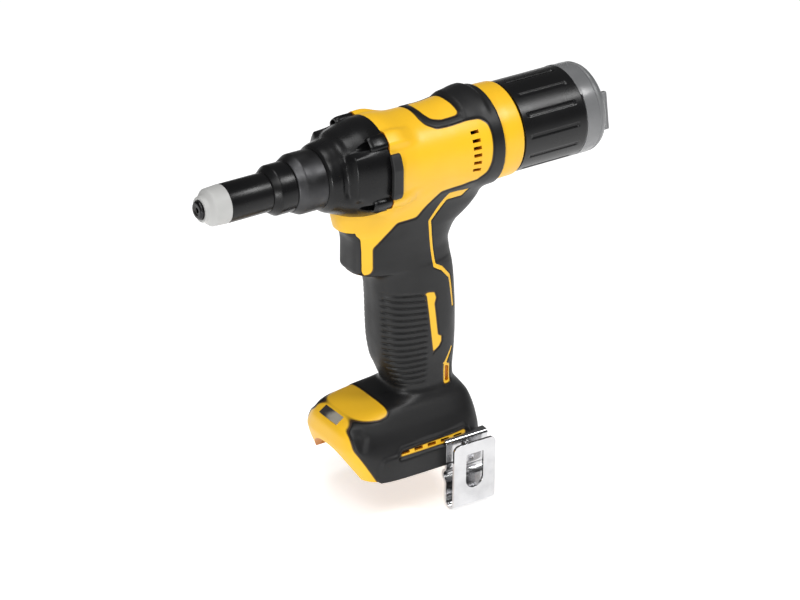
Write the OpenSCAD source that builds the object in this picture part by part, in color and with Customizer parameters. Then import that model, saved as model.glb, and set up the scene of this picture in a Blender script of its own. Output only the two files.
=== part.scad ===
// Battery rivet tool, bare (no battery), built as the separate pieces it comes apart into.
// The origin is the middle of the nosepiece's front face. +X points forward out of the nose, along
// the pulling axis, +Y to the tool's left and +Z up. Places along the barrel are distances behind
// the origin, so a piece from 10 to 20 lies between X = -20 and X = -10.

/* [Nose] */
// Radius of the nosepiece tip
tip_r = 6; // [5.6:0.1:6.6]
// Diameter of the hole that the rivet's mandrel enters
nose_bore_d = 3.3; // [2.4:0.1:4]
// Length of the nosepiece in front of its seat
tip_l = 10; // [9:0.1:12]
// Radius of the nosepiece's threaded shank
shank_r = 5; // [4.6:0.1:5.4]
// Length of the threaded shank
shank_l = 5; // [4:0.1:6]
// Radius of the nosepiece's rear end, which opens the jaws
opener_r = 2.9; // [2.7:0.1:3.1]
// Length of that rear end
opener_l = 7; // [6:0.1:7.2]
// Radius of the nose cover
cover_r = 12.6; // [12.2:0.1:13]
// Radius of the nose cover's neck
cover_neck_r = 8.4; // [8:0.1:9.4]
// Length of the nose cover behind the nosepiece's seat
cover_l = 8.7; // [8:0.1:10]
// Length of the nose cover's straight part
cover_straight_l = 10.4; // [9.6:0.1:11]
// How far the nosepiece stands out of the cover
tip_show = 2.2; // [1.6:0.1:3]
// Radius of the nose sleeve
sleeve_r = 12.5; // [12.2:0.1:13]
// Radius of the sleeve under the cover, the collar and the lock ring
sleeve_core_r = 11.4; // [11:0.1:11.8]
// Bore radius of the sleeve, in which the jaw case slides
sleeve_bore_r = 9.2; // [9:0.05:9.6]
// Bare length of the sleeve
sleeve_l = 29.6; // [28:0.1:36]
// Length of the sleeve behind the lock ring
sleeve_tail_l = 4; // [3:0.1:5]
// Radius of the collar
collar_r = 16.1; // [15:0.1:17]
// Length of the collar
collar_l = 15.7; // [14:0.1:20]
// Length of the collar's front chamfer
collar_chamfer_l = 4.4; // [3:0.1:6]
// Radius of the lock ring
ring_r = 19.3; // [18.6:0.1:19.6]
// Length of the lock ring
ring_l = 20.1; // [18:0.1:24]
// Length of the lock ring's front chamfer
ring_chamfer_l = 5.5; // [4:0.1:7]

/* [Pulling unit] */
// Pulling stroke
stroke = 25; // [20:0.5:26]
// Radius of the jaw case
jaw_case_r = 8.6; // [8.4:0.05:8.7]
// Length of the jaw case
jaw_case_l = 43; // [42:0.5:45]
// How far a jaw slides along its cone to close
jaw_travel = 1.2; // [1:0.05:1.4]
// Length of a jaw
jaw_l = 10.5; // [9:0.1:12]
// Radius of a jaw at its front
jaw_front_r = 3.25; // [3:0.05:3.4]
// Radius of a jaw at its rear
jaw_rear_r = 6.2; // [5.8:0.05:6.4]
// Radius of the grip hole between the jaws
jaw_bore_r = 1.3; // [1:0.05:1.6]
// Length of the jaw pusher
pusher_l = 4.6; // [4:0.1:6]
// Radius of the pull screw
screw_r = 7; // [6.8:0.05:7.2]
// Bore radius of the pull screw's rear part
screw_bore_r = 4.5; // [4.4:0.05:4.8]
// Bore radius of the pull screw's front part
screw_front_bore_r = 2.6; // [2.4:0.1:3]
// Radius of the ball nut
nut_r = 13; // [12:0.1:14]
// Radius of the ball nut's thrust flange
nut_flange_r = 16.6; // [16:0.1:17]
// Thickness of the thrust flange
nut_flange_t = 4; // [3:0.1:6]
// Length of the ball nut
nut_l = 24; // [22:0.5:28]
// Length of the thrust bearing
thrust_l = 4; // [3:0.1:5]
// Inner radius of the thrust bearing
thrust_bore_r = 9.6; // [9.4:0.1:10.4]
// Length of the nut's rear bearing
nut_bearing_l = 6; // [5:0.1:7]
// Outer radius of the nut's rear bearing
nut_bearing_r = 19; // [18:0.1:20]
// Outer radius of the sleeve that joins the carrier to the nut
carrier_sleeve_r = 11; // [10.4:0.1:11.6]
// Thickness of the planet carrier's plate
carrier_t = 3; // [2.6:0.1:4]

/* [Gears] */
// Gear module
gear_m = 0.75; // [0.7:0.01:0.76]
// Width of the gears
gear_w = 7.5; // [6:0.1:9]
// Thinning of each tooth at the pitch circle
backlash = 0.12; // [0.1:0.01:0.16]
// Radius of the planet pins
planet_pin_r = 2.5; // [2:0.1:3]

/* [Motor] */
// Radius of the hollow rotor shaft
shaft_r = 6.2; // [6:0.05:6.3]
// Bore radius of the hollow rotor shaft
shaft_bore_r = 4.6; // [4.5:0.05:4.7]
// Radius of the rotor's magnets
rotor_r = 13.3; // [12:0.1:13.4]
// Length of the stator stack
stator_l = 15; // [12:0.5:16]
// Bore radius of the stator
stator_bore_r = 14; // [13.8:0.1:14.4]
// Thickness of the stator's back iron
stator_back_t = 2.6; // [2.4:0.1:3]
// Width of a stator tooth
tooth_w = 7; // [6:0.1:8]
// Width of a coil over its tooth
coil_w = 12; // [11:0.1:12.6]
// How far a coil stands out of the stack at each end
coil_end_l = 3.3; // [3:0.1:4]
// Radius of the motor bearings
motor_bearing_r = 11; // [10.4:0.1:11.4]
// Length of the motor bearings
motor_bearing_l = 4.5; // [4:0.1:5]
// Thickness of the motor's front plate
motor_plate_t = 3; // [2.4:0.1:3.6]
// Thickness of the motor's sensor board
board_t = 1.2; // [1:0.1:1.6]
// Radius of the fan
fan_r = 22; // [20:0.5:23]
// Length of the fan
fan_l = 6; // [5:0.1:7]
// Thickness of the fan's disc and blades
fan_t = 1.2; // [1:0.1:1.6]
// Radius of the mandrel tube
tube_r = 4; // [3.9:0.05:4.1]
// Wall of the mandrel tube
tube_t = 0.8; // [0.6:0.1:1]

/* [Front housing] */
// Length of the front housing
front_l = 39.9; // [38:0.1:44]
// Radius of the front housing at its flange
front_r = 31.5; // [30.5:0.1:32.5]
// Length of its spigot inside the main housing
spigot_l = 4; // [3:0.1:5]
// Radius of a screw boss
boss_r = 4.8; // [4.4:0.1:5]
// Length of a screw boss
boss_l = 11; // [10:0.1:13]
// Distance of the boss screws from the barrel axis
boss_ring_r = 29.2; // [28.9:0.1:29.6]
// Angle of the upper bosses from the top
boss_top_a = 40; // [38:1:46]
// Angle of the lower bosses from the top
boss_low_a = 122; // [119:1:128]

/* [Main housing] */
// Radius of the barrel part of the housing
barrel_r = 31.5; // [31:0.1:32.5]
// Length of the barrel part of the housing
barrel_l = 81.3; // [80:0.1:86]
// Radius of the cavity that holds gears and motor
cavity_r = 25.3; // [24.8:0.1:25.6]
// Thickness of the rubber overmould
rubber_t = 1.6; // [1.2:0.1:2]
// Distance of the handle's middle behind the front housing
grip_set = 32; // [31:0.1:34]
// Depth of the handle, front to back
grip_depth = 54; // [53:0.1:58]
// Width of the handle
grip_w = 38; // [37:0.1:42]
// Length of the foot
foot_l = 101; // [99:0.5:108]
// Width of the foot
foot_w = 76.4; // [75:0.2:82]
// Drop of the foot's underside below the barrel axis
foot_drop = 206.5; // [202:0.5:212]
// Number of vent slots on each side of the barrel
vent_count = 6; // [4:1:7]
// Length of a vent slot
vent_l = 6.5; // [5:0.1:8]
// Height of a vent slot
vent_h = 2.2; // [1.6:0.1:2.6]
// Number of vent slots in the foot's side
foot_vent_count = 4; // [2:1:4]
// Number of grip ribs on each side of the handle
rib_count = 14; // [8:1:16]
// Depth of the grooves between the ribs
rib_depth = 0.7; // [0.4:0.1:1]
// Thickness of the side bumpers
bumper_t = 2; // [1.4:0.1:2.6]

/* [Trigger] */
// Width of the trigger
trigger_w = 22; // [20:0.1:22.6]
// Height of the trigger
trigger_h = 30; // [29:0.1:31]
// Depth of the trigger, front to back
trigger_d = 22.5; // [21:0.1:23]
// Travel of the trigger
trigger_travel = 6; // [4:0.1:6.5]
// Radius of the trigger's plunger
plunger_r = 3; // [2.4:0.1:3.4]

/* [Foot fittings] */
// Half width of the battery bay
bay_half = 29.5; // [29:0.1:30]
// Depth of the battery bay above the underside
bay_h = 11.5; // [11:0.1:12]
// How far a battery rail stands out of the bay's wall
rail_w = 3; // [2.6:0.1:4]
// Thickness of a battery rail
rail_t = 3; // [2.6:0.1:3.4]
// Width of the belt hook
hook_w = 32; // [28:0.5:34]
// Thickness of the belt hook's strip
hook_t = 1.8; // [1.4:0.1:2]
// Gap of the belt hook
hook_gap = 7.2; // [6.6:0.1:9]
// How far the belt hook hangs below the foot
hook_hang = 29.5; // [26:0.5:34]
// Height of the belt hook's outer plate
hook_plate_h = 48; // [40:0.5:54]
// Thread radius of the belt hook's inserts
insert_bore_r = 2; // [1.6:0.1:2.2]
// Length of the belt hook's inserts
insert_l = 6.5; // [6:0.1:6.8]

/* [Mandrel container] */
// Length of the rear ring
rear_ring_l = 18; // [17:0.1:22]
// Radius of the rear ring
rear_r = 30.2; // [30:0.1:31]
// Length of the container cup
cup_l = 48.7; // [46:0.1:60]
// Radius of the container cup
cup_r = 29.6; // [29:0.1:30]
// Wall of the container cup
cup_t = 3; // [2.4:0.1:3.6]
// Radius of the cup's neck in the rear ring
cup_neck_r = 25.8; // [25.4:0.1:26]
// Number of grip grooves round the cup
groove_count = 13; // [9:1:15]
// Depth of the cup's grooves
groove_depth = 0.8; // [0.4:0.1:1]
// Length of the end cap behind the cup
cap_l = 16; // [13:0.1:18]
// Wall of the end cap
cap_t = 2.4; // [2:0.1:3]
// Length of the end cap's grip bar
bar_l = 25; // [20:0.5:27]
// Thickness of the grip bar
bar_t = 4; // [3:0.1:5]
// Height of the grip bar
bar_h = 4; // [3:0.1:6]
// Angle of the grip bar from the top
bar_a = 80; // [0:1:120]

/* [Hidden] */
// Clearances
seat_gap = 0.1;
run_gap = 0.3;
fit_gap = 0.05;
slide_gap = 0.4;
over = 1;

// Facing angles
full_turn = 360;
half_turn = 180;
third_turn = 120;

// Places along the barrel, as distances behind the nose
seat_s = tip_l;
cover_s = seat_s + cover_l;
sleeve_s = cover_s + sleeve_l;
collar_s = sleeve_s + collar_l;
ring_s = collar_s + ring_l;
front_s = ring_s + front_l;
barrel_s = front_s + barrel_l;
rear_s = barrel_s + rear_ring_l;
cup_s = rear_s + cup_l;
cap_s = cup_s + cap_l;

// Nose cover's lip and the sleeve under it
lip = cover_neck_r / 12;
under_cover_r = sleeve_core_r - 2 * slide_gap - seat_gap;

// Pulling unit places
sleeve_tail_s = ring_s + sleeve_tail_l;
thrust_wall_t = 2;
thrust_s = sleeve_tail_s + thrust_wall_t;
nut_s = thrust_s + thrust_l + run_gap;
nut_end_s = nut_s + nut_l;
screw_over = 0.6;
screw_end_s = nut_end_s + screw_over;
stop_gap = 1.5;
carrier_s = screw_end_s + stroke + stop_gap;
gear_s = carrier_s + carrier_t + 2 * run_gap;
gear_end_s = gear_s + gear_w;
case_gap = 4;
case_s = seat_s + shank_l + case_gap;
case_end_s = case_s + jaw_case_l;
case_thread_l = 10;
screw_s = case_end_s - case_thread_l;
screw_step_l = 25;
opener_s = seat_s + shank_l + opener_l;
jaw_s = opener_s + jaw_travel + 2 * run_gap;
jaw_end_s = jaw_s + jaw_l;
pusher_s = jaw_end_s + run_gap;
pusher_end_s = pusher_s + pusher_l;
cone_gap = 0.35;
case_bore_r = screw_r;
pusher_bore_r = 2;
spring_r = 6.4;
spring_bore_r = 4.2;
jaw_count = 3;
jaw_split = 0.9;

// Gear sizes
sun_teeth = 18;
planet_teeth = 21;
ring_teeth = 60;
pressure_a = 20;
tip_share = 0.9;
root_share = 1.2;
inner_tip_share = 0.85;
planet_count = 3;
planet_orbit = gear_m * (sun_teeth + planet_teeth) / 2;
pin_end = 0.5;
carrier_r = planet_orbit + planet_pin_r + carrier_t;
carrier_bore_r = screw_r + run_gap + fit_gap;

// Motor places
motor_s = gear_end_s + stop_gap;
motor_bearing_s = motor_s + motor_bearing_l;
board_s = motor_bearing_s + slide_gap;
coil_s = board_s + board_t + run_gap;
stator_s = coil_s + coil_end_l;
stator_end_s = stator_s + stator_l;
coil_end_s = stator_end_s + coil_end_l;
fan_s = coil_end_s + stop_gap;
fan_end_s = fan_s + fan_l;
rear_bearing_s = fan_end_s + stop_gap;
rear_bearing_end_s = rear_bearing_s + motor_bearing_l;
rotor_over = 0.8;
coil_in = 1.5;
coil_count = 6;
board_bore_r = motor_bearing_r + slide_gap;
board_r = stator_bore_r + coil_w * 3 / 4;
fan_hub_r = 9;
fan_blade_in_r = 12;
fan_blades = 15;
shaft_wall = shaft_r - shaft_bore_r;

// Front housing places
front_bore_r = nut_flange_r + 2 * slide_gap;
spigot_r = cavity_r - seat_gap;
nut_bearing_s = nut_end_s + stop_gap;
boss_head_s = front_s - boss_l / 2;
boss_groove_l = boss_l * 5 / 3;
boss_head_r = 3.2;
boss_head_t = 3;
boss_hole_r = 1.6;
boss_screw_l = 14;
ear_l = boss_l * 2 / 3;
ear_tail_l = boss_l * 5 / 3;
ear_r = boss_r * 9 / 8;

// Rear ring and mandrel container places
hub_s = rear_bearing_s - slide_gap;
hub_wall = 3;
pocket_s = barrel_s + hub_wall;
pocket_r = cup_neck_r + slide_gap + run_gap;
neck_s = pocket_s + stop_gap;
neck_wall = 3;
neck_hole_r = 7;
seal_s = neck_s + neck_wall * 2;
seal_w = 2.4;
seal_in = 1.2;
plug_l = 8;
plug_r = cup_r - cup_t - run_gap;
tube_s = carrier_s - screw_step_l;
tube_end_s = neck_s + neck_wall + stop_gap;
groove_w = 3;
groove_margin = 6;
cap_rim_l = 5;
cap_rim_step = 2.4;

// Handle and foot places
grip_s = front_s + grip_set;
grip_seat_r = front_r + run_gap;

// Outline of the barrel: share of its length, share of its radius
barrel_shares = [[0, 0.997], [0.074, 1.003], [0.135, 0.997], [0.185, 0.94], [0.234, 0.927],
    [0.566, 0.921], [0.713, 0.952], [0.812, 0.984], [0.91, 1.02], [1, 1.02]];
// Outline of the front housing: share of its length, share of its radius
front_shares = [[0, 0.61], [0.05, 0.673], [0.2, 0.74], [0.32, 0.79], [0.42, 0.85], [0.55, 0.915],
    [0.7, 0.967], [0.85, 0.99], [1, 1]];
// Handle sections: drop as a share of the foot's drop, front and rear reach as shares of the
// handle's depth, half width as a share of the handle's width, then the squareness of the section
// and how much of the rubber's thickness the core sinks below it
grip_shares = [
    [0.058, 1.05, -0.907, 0.553, 2.6, 0], [0.087, 1.05, -0.907, 0.566, 2.6, 0],
    [0.116, 1.05, -0.907, 0.539, 2.6, 0], [0.145, 1.048, -0.907, 0.505, 2.6, 0],
    [0.174, 1.03, -0.898, 0.479, 2.6, 0], [0.199, 1, -0.824, 0.466, 2.6, 0],
    [0.218, 0.935, -0.722, 0.458, 2.6, 0], [0.237, 0.92, -0.607, 0.453, 2.6, 0],
    [0.262, 0.911, -0.537, 0.447, 2.6, 0], [0.3, 0.902, -0.487, 0.447, 2.6, 0],
    [0.334, 0.889, -0.496, 0.453, 2.6, 0], [0.351, 0.852, -0.506, 0.458, 2.6, 0],
    [0.363, 0.667, -0.513, 0.463, 2.7, 0], [0.378, 0.593, -0.522, 0.468, 2.8, 0],
    [0.407, 0.552, -0.537, 0.476, 2.9, 0], [0.484, 0.519, -0.554, 0.495, 3, 0],
    [0.542, 0.507, -0.563, 0.5, 3, 0], [0.6, 0.493, -0.565, 0.5, 3, 0],
    [0.649, 0.463, -0.559, 0.497, 3, 0], [0.683, 0.43, -0.552, 0.492, 3, 0],
    [0.712, 0.378, -0.541, 0.484, 3, 0], [0.741, 0.33, -0.533, 0.479, 3, 0],
    [0.765, 0.293, -0.537, 0.482, 3, 0.4]];
// Foot sections in the same order, as shares of the foot's length and width
foot_shares = [
    [0.78, 0.168, -0.297, 0.251, 3.1, 1], [0.794, 0.272, -0.317, 0.275, 3.3, 1],
    [0.805, 0.441, -0.335, 0.296, 3.6, 1], [0.817, 0.543, -0.351, 0.321, 3.8, 1],
    [0.833, 0.592, -0.371, 0.353, 4, 1], [0.862, 0.618, -0.386, 0.408, 4.2, 1],
    [0.893, 0.619, -0.392, 0.453, 4.4, 1], [0.925, 0.599, -0.394, 0.48, 4.6, 1],
    [1, 0.53, -0.386, 0.5, 5, 0]];
section_steps = 14;

// Turn that carries a drawing in the XY plane, or a turned outline, onto the barrel axis
function on_barrel() = [0, 90, 0];

// One handle or foot section: height, middle, half depth, half width, squareness
function section(row, depth, width, inset) =
    let (front = row[1] * depth - inset, rear = row[2] * depth + inset)
    [-row[0] * foot_drop - row[5] * inset, (front + rear) / 2 - grip_s, (front - rear) / 2,
        row[3] * width - inset, row[4]];
function sections(inset) = concat(
    [for (row = grip_shares) section(row, grip_depth, grip_w, inset)],
    [for (row = foot_shares) section(row, foot_l, foot_w, inset)]);

// Point of a section's left half at angle t, counted from the front
function section_point(part, t) =
    let (c = cos(t), power = 2 / part[4])
    [part[1] + part[2] * sign(c) * pow(abs(c), power), part[3] * pow(abs(sin(t)), power), part[0]];

// Solid through the left halves of all sections, closed at the middle plane
module lofted_half(inset) {
    parts = sections(inset);
    rows = len(parts);
    ring = section_steps + 1;
    points = [for (part = parts) for (i = [0 : section_steps])
        section_point(part, half_turn * i / section_steps)];
    sides = [for (k = [0 : rows - 2]) for (i = [0 : section_steps - 1])
        [k * ring + i, k * ring + i + 1, (k + 1) * ring + i + 1, (k + 1) * ring + i]];
    middle = [for (k = [0 : rows - 2])
        [k * ring + section_steps, k * ring, (k + 1) * ring, (k + 1) * ring + section_steps]];
    top = [[for (i = [section_steps : -1 : 0]) i]];
    bottom = [[for (i = [0 : section_steps]) (rows - 1) * ring + i]];
    polyhedron(points, concat(sides, middle, top, bottom), convexity = 8);
}

// Solid through whole sections
module lofted_ring(parts) {
    rows = len(parts);
    ring = 2 * section_steps;
    points = [for (part = parts) for (i = [0 : ring - 1])
        let (t = full_turn * i / ring, p = section_point(part, t)) [p[0], sign(sin(t)) * p[1], p[2]]];
    sides = [for (k = [0 : rows - 2]) for (i = [0 : ring - 1]) let (j = (i + 1) % ring)
        [k * ring + i, k * ring + j, (k + 1) * ring + j, (k + 1) * ring + i]];
    top = [[for (i = [ring - 1 : -1 : 0]) i]];
    bottom = [[for (i = [0 : ring - 1]) (rows - 1) * ring + i]];
    polyhedron(points, concat(sides, top, bottom), convexity = 4);
}

// Round bar between two places on the barrel
module rod(from, to, r) {
    translate([-to, 0, 0]) rotate(on_barrel()) cylinder(h = to - from, r = r);
}

// Round tube between two places on the barrel
module tube(from, to, r, bore) {
    difference() {
        rod(from, to, r);
        rod(from - over, to + over, bore);
    }
}

// Turned solid from points of place and radius
module turned(points, sweep = full_turn) {
    rotate(on_barrel()) rotate_extrude(angle = sweep) polygon([for (p = points) [p[1], -p[0]]]);
}

// Puts what lies on the top of the barrel at an angle from the top, towards the left
module around(a) {
    rotate([-a, 0, 0]) children();
}

// Box from low corner to high corner
module span(low, high) {
    translate(low) cube(high - low);
}

// Pulling end

module nosepiece() {
    chamfer = tip_r / 8;
    lead = opener_l / 4;
    color([0.13, 0.13, 0.14]) difference() {
        turned([[0, 0], [0, tip_r - chamfer], [chamfer, tip_r], [seat_s, tip_r], [seat_s, shank_r],
            [seat_s + shank_l, shank_r], [seat_s + shank_l, opener_r],
            [opener_s - lead, opener_r], [opener_s, nose_bore_d * 2 / 3], [opener_s, 0]]);
        rod(-over, opener_s + over, nose_bore_d / 2);
    }
}

module nose_cover() {
    knee_s = cover_s - cover_straight_l;
    color([0.72, 0.72, 0.7]) difference() {
        turned([[tip_show, 0], [tip_show, cover_neck_r - lip], [tip_show + lip, cover_neck_r],
            [knee_s - lip, cover_r - 2 * lip], [knee_s + lip, cover_r - lip / 2], [cover_s, cover_r],
            [cover_s, 0]]);
        rod(tip_show - over, seat_s, tip_r + seat_gap);
        rod(seat_s - seat_gap, cover_s + over, under_cover_r + seat_gap);
    }
}

module nose_sleeve() {
    color([0.06, 0.06, 0.065]) difference() {
        turned([[seat_s, 0], [seat_s, under_cover_r], [cover_s, under_cover_r], [cover_s, sleeve_r],
            [sleeve_s, sleeve_r], [sleeve_s, sleeve_core_r], [sleeve_tail_s, sleeve_core_r],
            [sleeve_tail_s, 0]]);
        rod(seat_s - over, sleeve_tail_s, shank_r);
        rod(seat_s + shank_l, sleeve_tail_s + over, sleeve_bore_r);
    }
}

module nose_collar() {
    color([0.07, 0.07, 0.075]) difference() {
        turned([[sleeve_s, 0], [sleeve_s, sleeve_r + slide_gap], [sleeve_s + collar_chamfer_l, collar_r],
            [collar_s, collar_r], [collar_s, 0]]);
        rod(sleeve_s - over, collar_s + over, sleeve_core_r);
    }
}

module lock_ring() {
    color([0.2, 0.2, 0.205]) difference() {
        turned([[collar_s, 0], [collar_s, collar_r + slide_gap], [collar_s + ring_chamfer_l, ring_r],
            [ring_s, ring_r], [ring_s, 0]]);
        rod(collar_s - over, ring_s + over, sleeve_core_r);
    }
}

module jaw_case() {
    mouth_r = jaw_front_r + cone_gap;
    color([0.35, 0.35, 0.37]) difference() {
        rod(case_s, case_end_s, jaw_case_r);
        turned([[case_s - over, 0], [case_s - over, mouth_r], [jaw_s, mouth_r],
            [jaw_end_s, jaw_rear_r + cone_gap], [jaw_end_s, case_bore_r],
            [case_end_s + over, case_bore_r], [case_end_s + over, 0]]);
    }
}

module jaw(i) {
    color([0.5, 0.5, 0.52]) around(i * third_turn) difference() {
        rotate([(half_turn - third_turn) / 2, 0, 0]) turned([[jaw_s, jaw_bore_r], [jaw_s, jaw_front_r],
            [jaw_end_s, jaw_rear_r], [jaw_end_s, jaw_bore_r]], third_turn);
        for (side = [-1, 1]) rotate([side * third_turn / 2, 0, 0])
            span([-jaw_end_s - over, -over, -jaw_split / 2],
                [-jaw_s + over, 2 * jaw_rear_r, jaw_split / 2]);
    }
}

module jaw_pusher() {
    color([0.55, 0.55, 0.57]) tube(pusher_s, pusher_end_s, case_bore_r - slide_gap, pusher_bore_r);
}

module jaw_spring() {
    color([0.6, 0.6, 0.62]) tube(pusher_end_s, screw_s, spring_r, spring_bore_r);
}

module pull_screw() {
    color([0.55, 0.56, 0.58]) difference() {
        rod(screw_s, screw_end_s, screw_r);
        rod(screw_s - over, screw_end_s, screw_front_bore_r);
        rod(screw_s + screw_step_l, screw_end_s + over, screw_bore_r);
    }
}

module ball_nut() {
    color([0.5, 0.5, 0.52]) difference() {
        union() {
            rod(nut_s, nut_s + nut_flange_t, nut_flange_r);
            rod(nut_s, nut_end_s, nut_r);
        }
        rod(nut_s - over, nut_end_s + over, screw_r + run_gap);
    }
}

module thrust_bearing() {
    color([0.65, 0.65, 0.67]) tube(thrust_s, thrust_s + thrust_l, nut_flange_r, thrust_bore_r);
}

module nut_bearing() {
    color([0.65, 0.65, 0.67])
        tube(nut_bearing_s, nut_bearing_s + nut_bearing_l, nut_bearing_r, carrier_sleeve_r + fit_gap);
}

// Gear train

// Involute of an angle, in degrees
function involute(a) = tan(a) * half_turn / PI - a;

// Half angle of a tooth at a radius, thinned by slack at the pitch circle
function tooth_half(teeth, r, slack) =
    let (pitch = gear_m * teeth / 2, base = pitch * cos(pressure_a), reach = max(r, base))
    half_turn / teeth / 2 - slack / pitch * half_turn / PI / 2
        + involute(pressure_a) - involute(acos(base / reach));

function at(r, a) = [r * cos(a), r * sin(a)];

// Outline of a toothed wheel between a root and a tip radius
function wheel(teeth, root, tip, slack) =
    let (pitch = gear_m * teeth / 2)
    [for (k = [0 : teeth - 1]) let (a = k * full_turn / teeth)
        for (p = [[root, -1], [pitch, -1], [tip, -1], [tip, 1], [pitch, 1], [root, 1]])
            at(p[0], a + p[1] * tooth_half(teeth, p[0], slack))];

module wheel_solid(teeth) {
    pitch = gear_m * teeth / 2;
    linear_extrude(gear_w)
        polygon(wheel(teeth, pitch - root_share * gear_m, pitch + tip_share * gear_m, backlash));
}

module sun_gear() {
    color([0.6, 0.58, 0.5]) translate([-gear_end_s, 0, 0]) rotate(on_barrel()) difference() {
        wheel_solid(sun_teeth);
        translate([0, 0, -over]) cylinder(h = gear_w + 2 * over, r = shaft_bore_r);
    }
}

// Planet i's place around the sun
module at_planet(i) {
    rotate([0, 0, i * full_turn / planet_count]) translate([planet_orbit, 0, 0]) children();
}

module planet(i) {
    color([0.62, 0.6, 0.52]) translate([-gear_end_s, 0, 0]) rotate(on_barrel()) at_planet(i)
    difference() {
        wheel_solid(planet_teeth);
        translate([0, 0, -over]) cylinder(h = gear_w + 2 * over, r = planet_pin_r + fit_gap);
    }
}

module ring_gear() {
    pitch = gear_m * ring_teeth / 2;
    color([0.45, 0.45, 0.46]) translate([-gear_end_s, 0, 0]) rotate(on_barrel()) difference() {
        cylinder(h = gear_w, r = cavity_r - seat_gap);
        translate([0, 0, -over]) linear_extrude(gear_w + 2 * over)
            polygon(wheel(ring_teeth, pitch - inner_tip_share * gear_m,
                pitch + root_share * gear_m, -backlash));
    }
}

module planet_carrier() {
    pin_l = gear_w + 2 * run_gap + pin_end;
    color([0.48, 0.48, 0.5]) difference() {
        union() {
            rod(nut_end_s, carrier_s + carrier_t, carrier_sleeve_r);
            rod(carrier_s, carrier_s + carrier_t, carrier_r);
            translate([-carrier_s - carrier_t - pin_l, 0, 0]) rotate(on_barrel())
                for (i = [0 : planet_count - 1]) at_planet(i)
                    cylinder(h = pin_l + carrier_t / 2, r = planet_pin_r);
        }
        rod(nut_end_s - over, carrier_s + carrier_t + over, carrier_bore_r);
    }
}

// Motor

module rotor_shaft() {
    color([0.6, 0.6, 0.62]) tube(gear_end_s, rear_bearing_end_s, shaft_r, shaft_bore_r);
}

module rotor_core() {
    color([0.3, 0.3, 0.32]) tube(stator_s - rotor_over, stator_end_s + rotor_over, rotor_r, shaft_r);
}

module stator_tooth(width, from_r, to_r, from, to) {
    span([-to, -width / 2, from_r], [-from, width / 2, to_r]);
}

module stator() {
    back_r = cavity_r - seat_gap;
    color([0.4, 0.4, 0.42]) difference() {
        union() {
            tube(stator_s, stator_end_s, back_r, back_r - stator_back_t);
            for (i = [0 : coil_count - 1]) around(i * full_turn / coil_count)
                stator_tooth(tooth_w, stator_bore_r - over, back_r - stator_back_t / 2, stator_s,
                    stator_end_s);
        }
        rod(stator_s - over, stator_end_s + over, stator_bore_r);
    }
}

module stator_coils() {
    from_r = stator_bore_r + coil_in;
    to_r = cavity_r - stator_back_t - 2 * slide_gap;
    color([0.72, 0.4, 0.16]) for (i = [0 : coil_count - 1]) around(i * full_turn / coil_count)
    difference() {
        intersection() {
            stator_tooth(coil_w, from_r, to_r, coil_s, coil_end_s);
            rod(coil_s - over, coil_end_s + over, cavity_r - stator_back_t - slide_gap);
        }
        stator_tooth(tooth_w, from_r - over, to_r + over, stator_s, stator_end_s);
    }
}

module motor_plate() {
    color([0.2, 0.2, 0.21]) tube(motor_s, motor_s + motor_plate_t, cavity_r - seat_gap, motor_bearing_r);
}

module motor_bearing(from) {
    color([0.65, 0.65, 0.67]) tube(from, from + motor_bearing_l, motor_bearing_r, shaft_r + fit_gap);
}

module motor_board() {
    color([0.1, 0.35, 0.16]) tube(board_s, board_s + board_t, board_r, board_bore_r);
}

module fan() {
    color([0.12, 0.12, 0.13]) difference() {
        union() {
            rod(fan_s, fan_end_s, fan_hub_r);
            rod(fan_end_s - fan_t, fan_end_s, fan_r);
            for (i = [0 : fan_blades - 1]) around(i * full_turn / fan_blades)
                span([-fan_end_s, -fan_t / 2, fan_blade_in_r], [-fan_s, fan_t / 2, fan_r - fan_t]);
        }
        rod(fan_s - over, fan_end_s + over, shaft_r);
    }
}

module mandrel_tube() {
    color([0.7, 0.7, 0.72]) tube(tube_s, tube_end_s, tube_r, tube_r - tube_t);
}

// Front housing

// Repeats what lies on the top of the barrel at the four bosses
module at_bosses() {
    for (a = [boss_top_a, -boss_top_a, boss_low_a, -boss_low_a]) around(a)
        translate([0, 0, boss_ring_r]) children();
}

module front_housing() {
    outline = [for (p = front_shares) [ring_s + p[0] * front_l, p[1] * front_r]];
    color([0.05, 0.05, 0.055]) difference() {
        union() {
            turned(concat([[ring_s, 0]], outline, [[front_s, 0]]));
            rod(front_s - over, front_s + spigot_l, spigot_r);
            at_bosses() rod(front_s - boss_l, front_s, boss_r);
        }
        rod(ring_s - over, sleeve_tail_s, sleeve_core_r);
        rod(ring_s, thrust_s + over, thrust_bore_r - seat_gap);
        rod(thrust_s, front_s, front_bore_r);
        rod(nut_bearing_s, front_s + spigot_l + over, nut_bearing_r);
        at_bosses() rod(front_s - boss_groove_l, boss_head_s, boss_head_r + run_gap);
        at_bosses() rod(boss_head_s - over, front_s + over, boss_hole_r);
    }
}

module front_screws() {
    color([0.25, 0.25, 0.26]) at_bosses() union() {
        rod(boss_head_s - boss_head_t, boss_head_s, boss_head_r);
        rod(boss_head_s - over, boss_head_s - boss_head_t + boss_screw_l, boss_hole_r);
    }
}

// Main housing and its rubber

// Left half of the barrel
module barrel_half(inset) {
    outline = [for (p = barrel_shares) [front_s + p[0] * barrel_l, p[1] * barrel_r - inset]];
    turned(concat([[front_s, 0]], outline, [[barrel_s, 0]]), half_turn);
}

// Ears of the main housing behind the left bosses
module left_ears() {
    for (a = [boss_top_a, boss_low_a]) around(a)
        translate([-front_s - run_gap, 0, boss_ring_r]) rotate([0, -90, 0]) union() {
        cylinder(h = ear_l, r = ear_r);
        translate([0, 0, ear_l]) cylinder(h = ear_tail_l, r1 = ear_r, r2 = boss_hole_r);
    }
}

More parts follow.
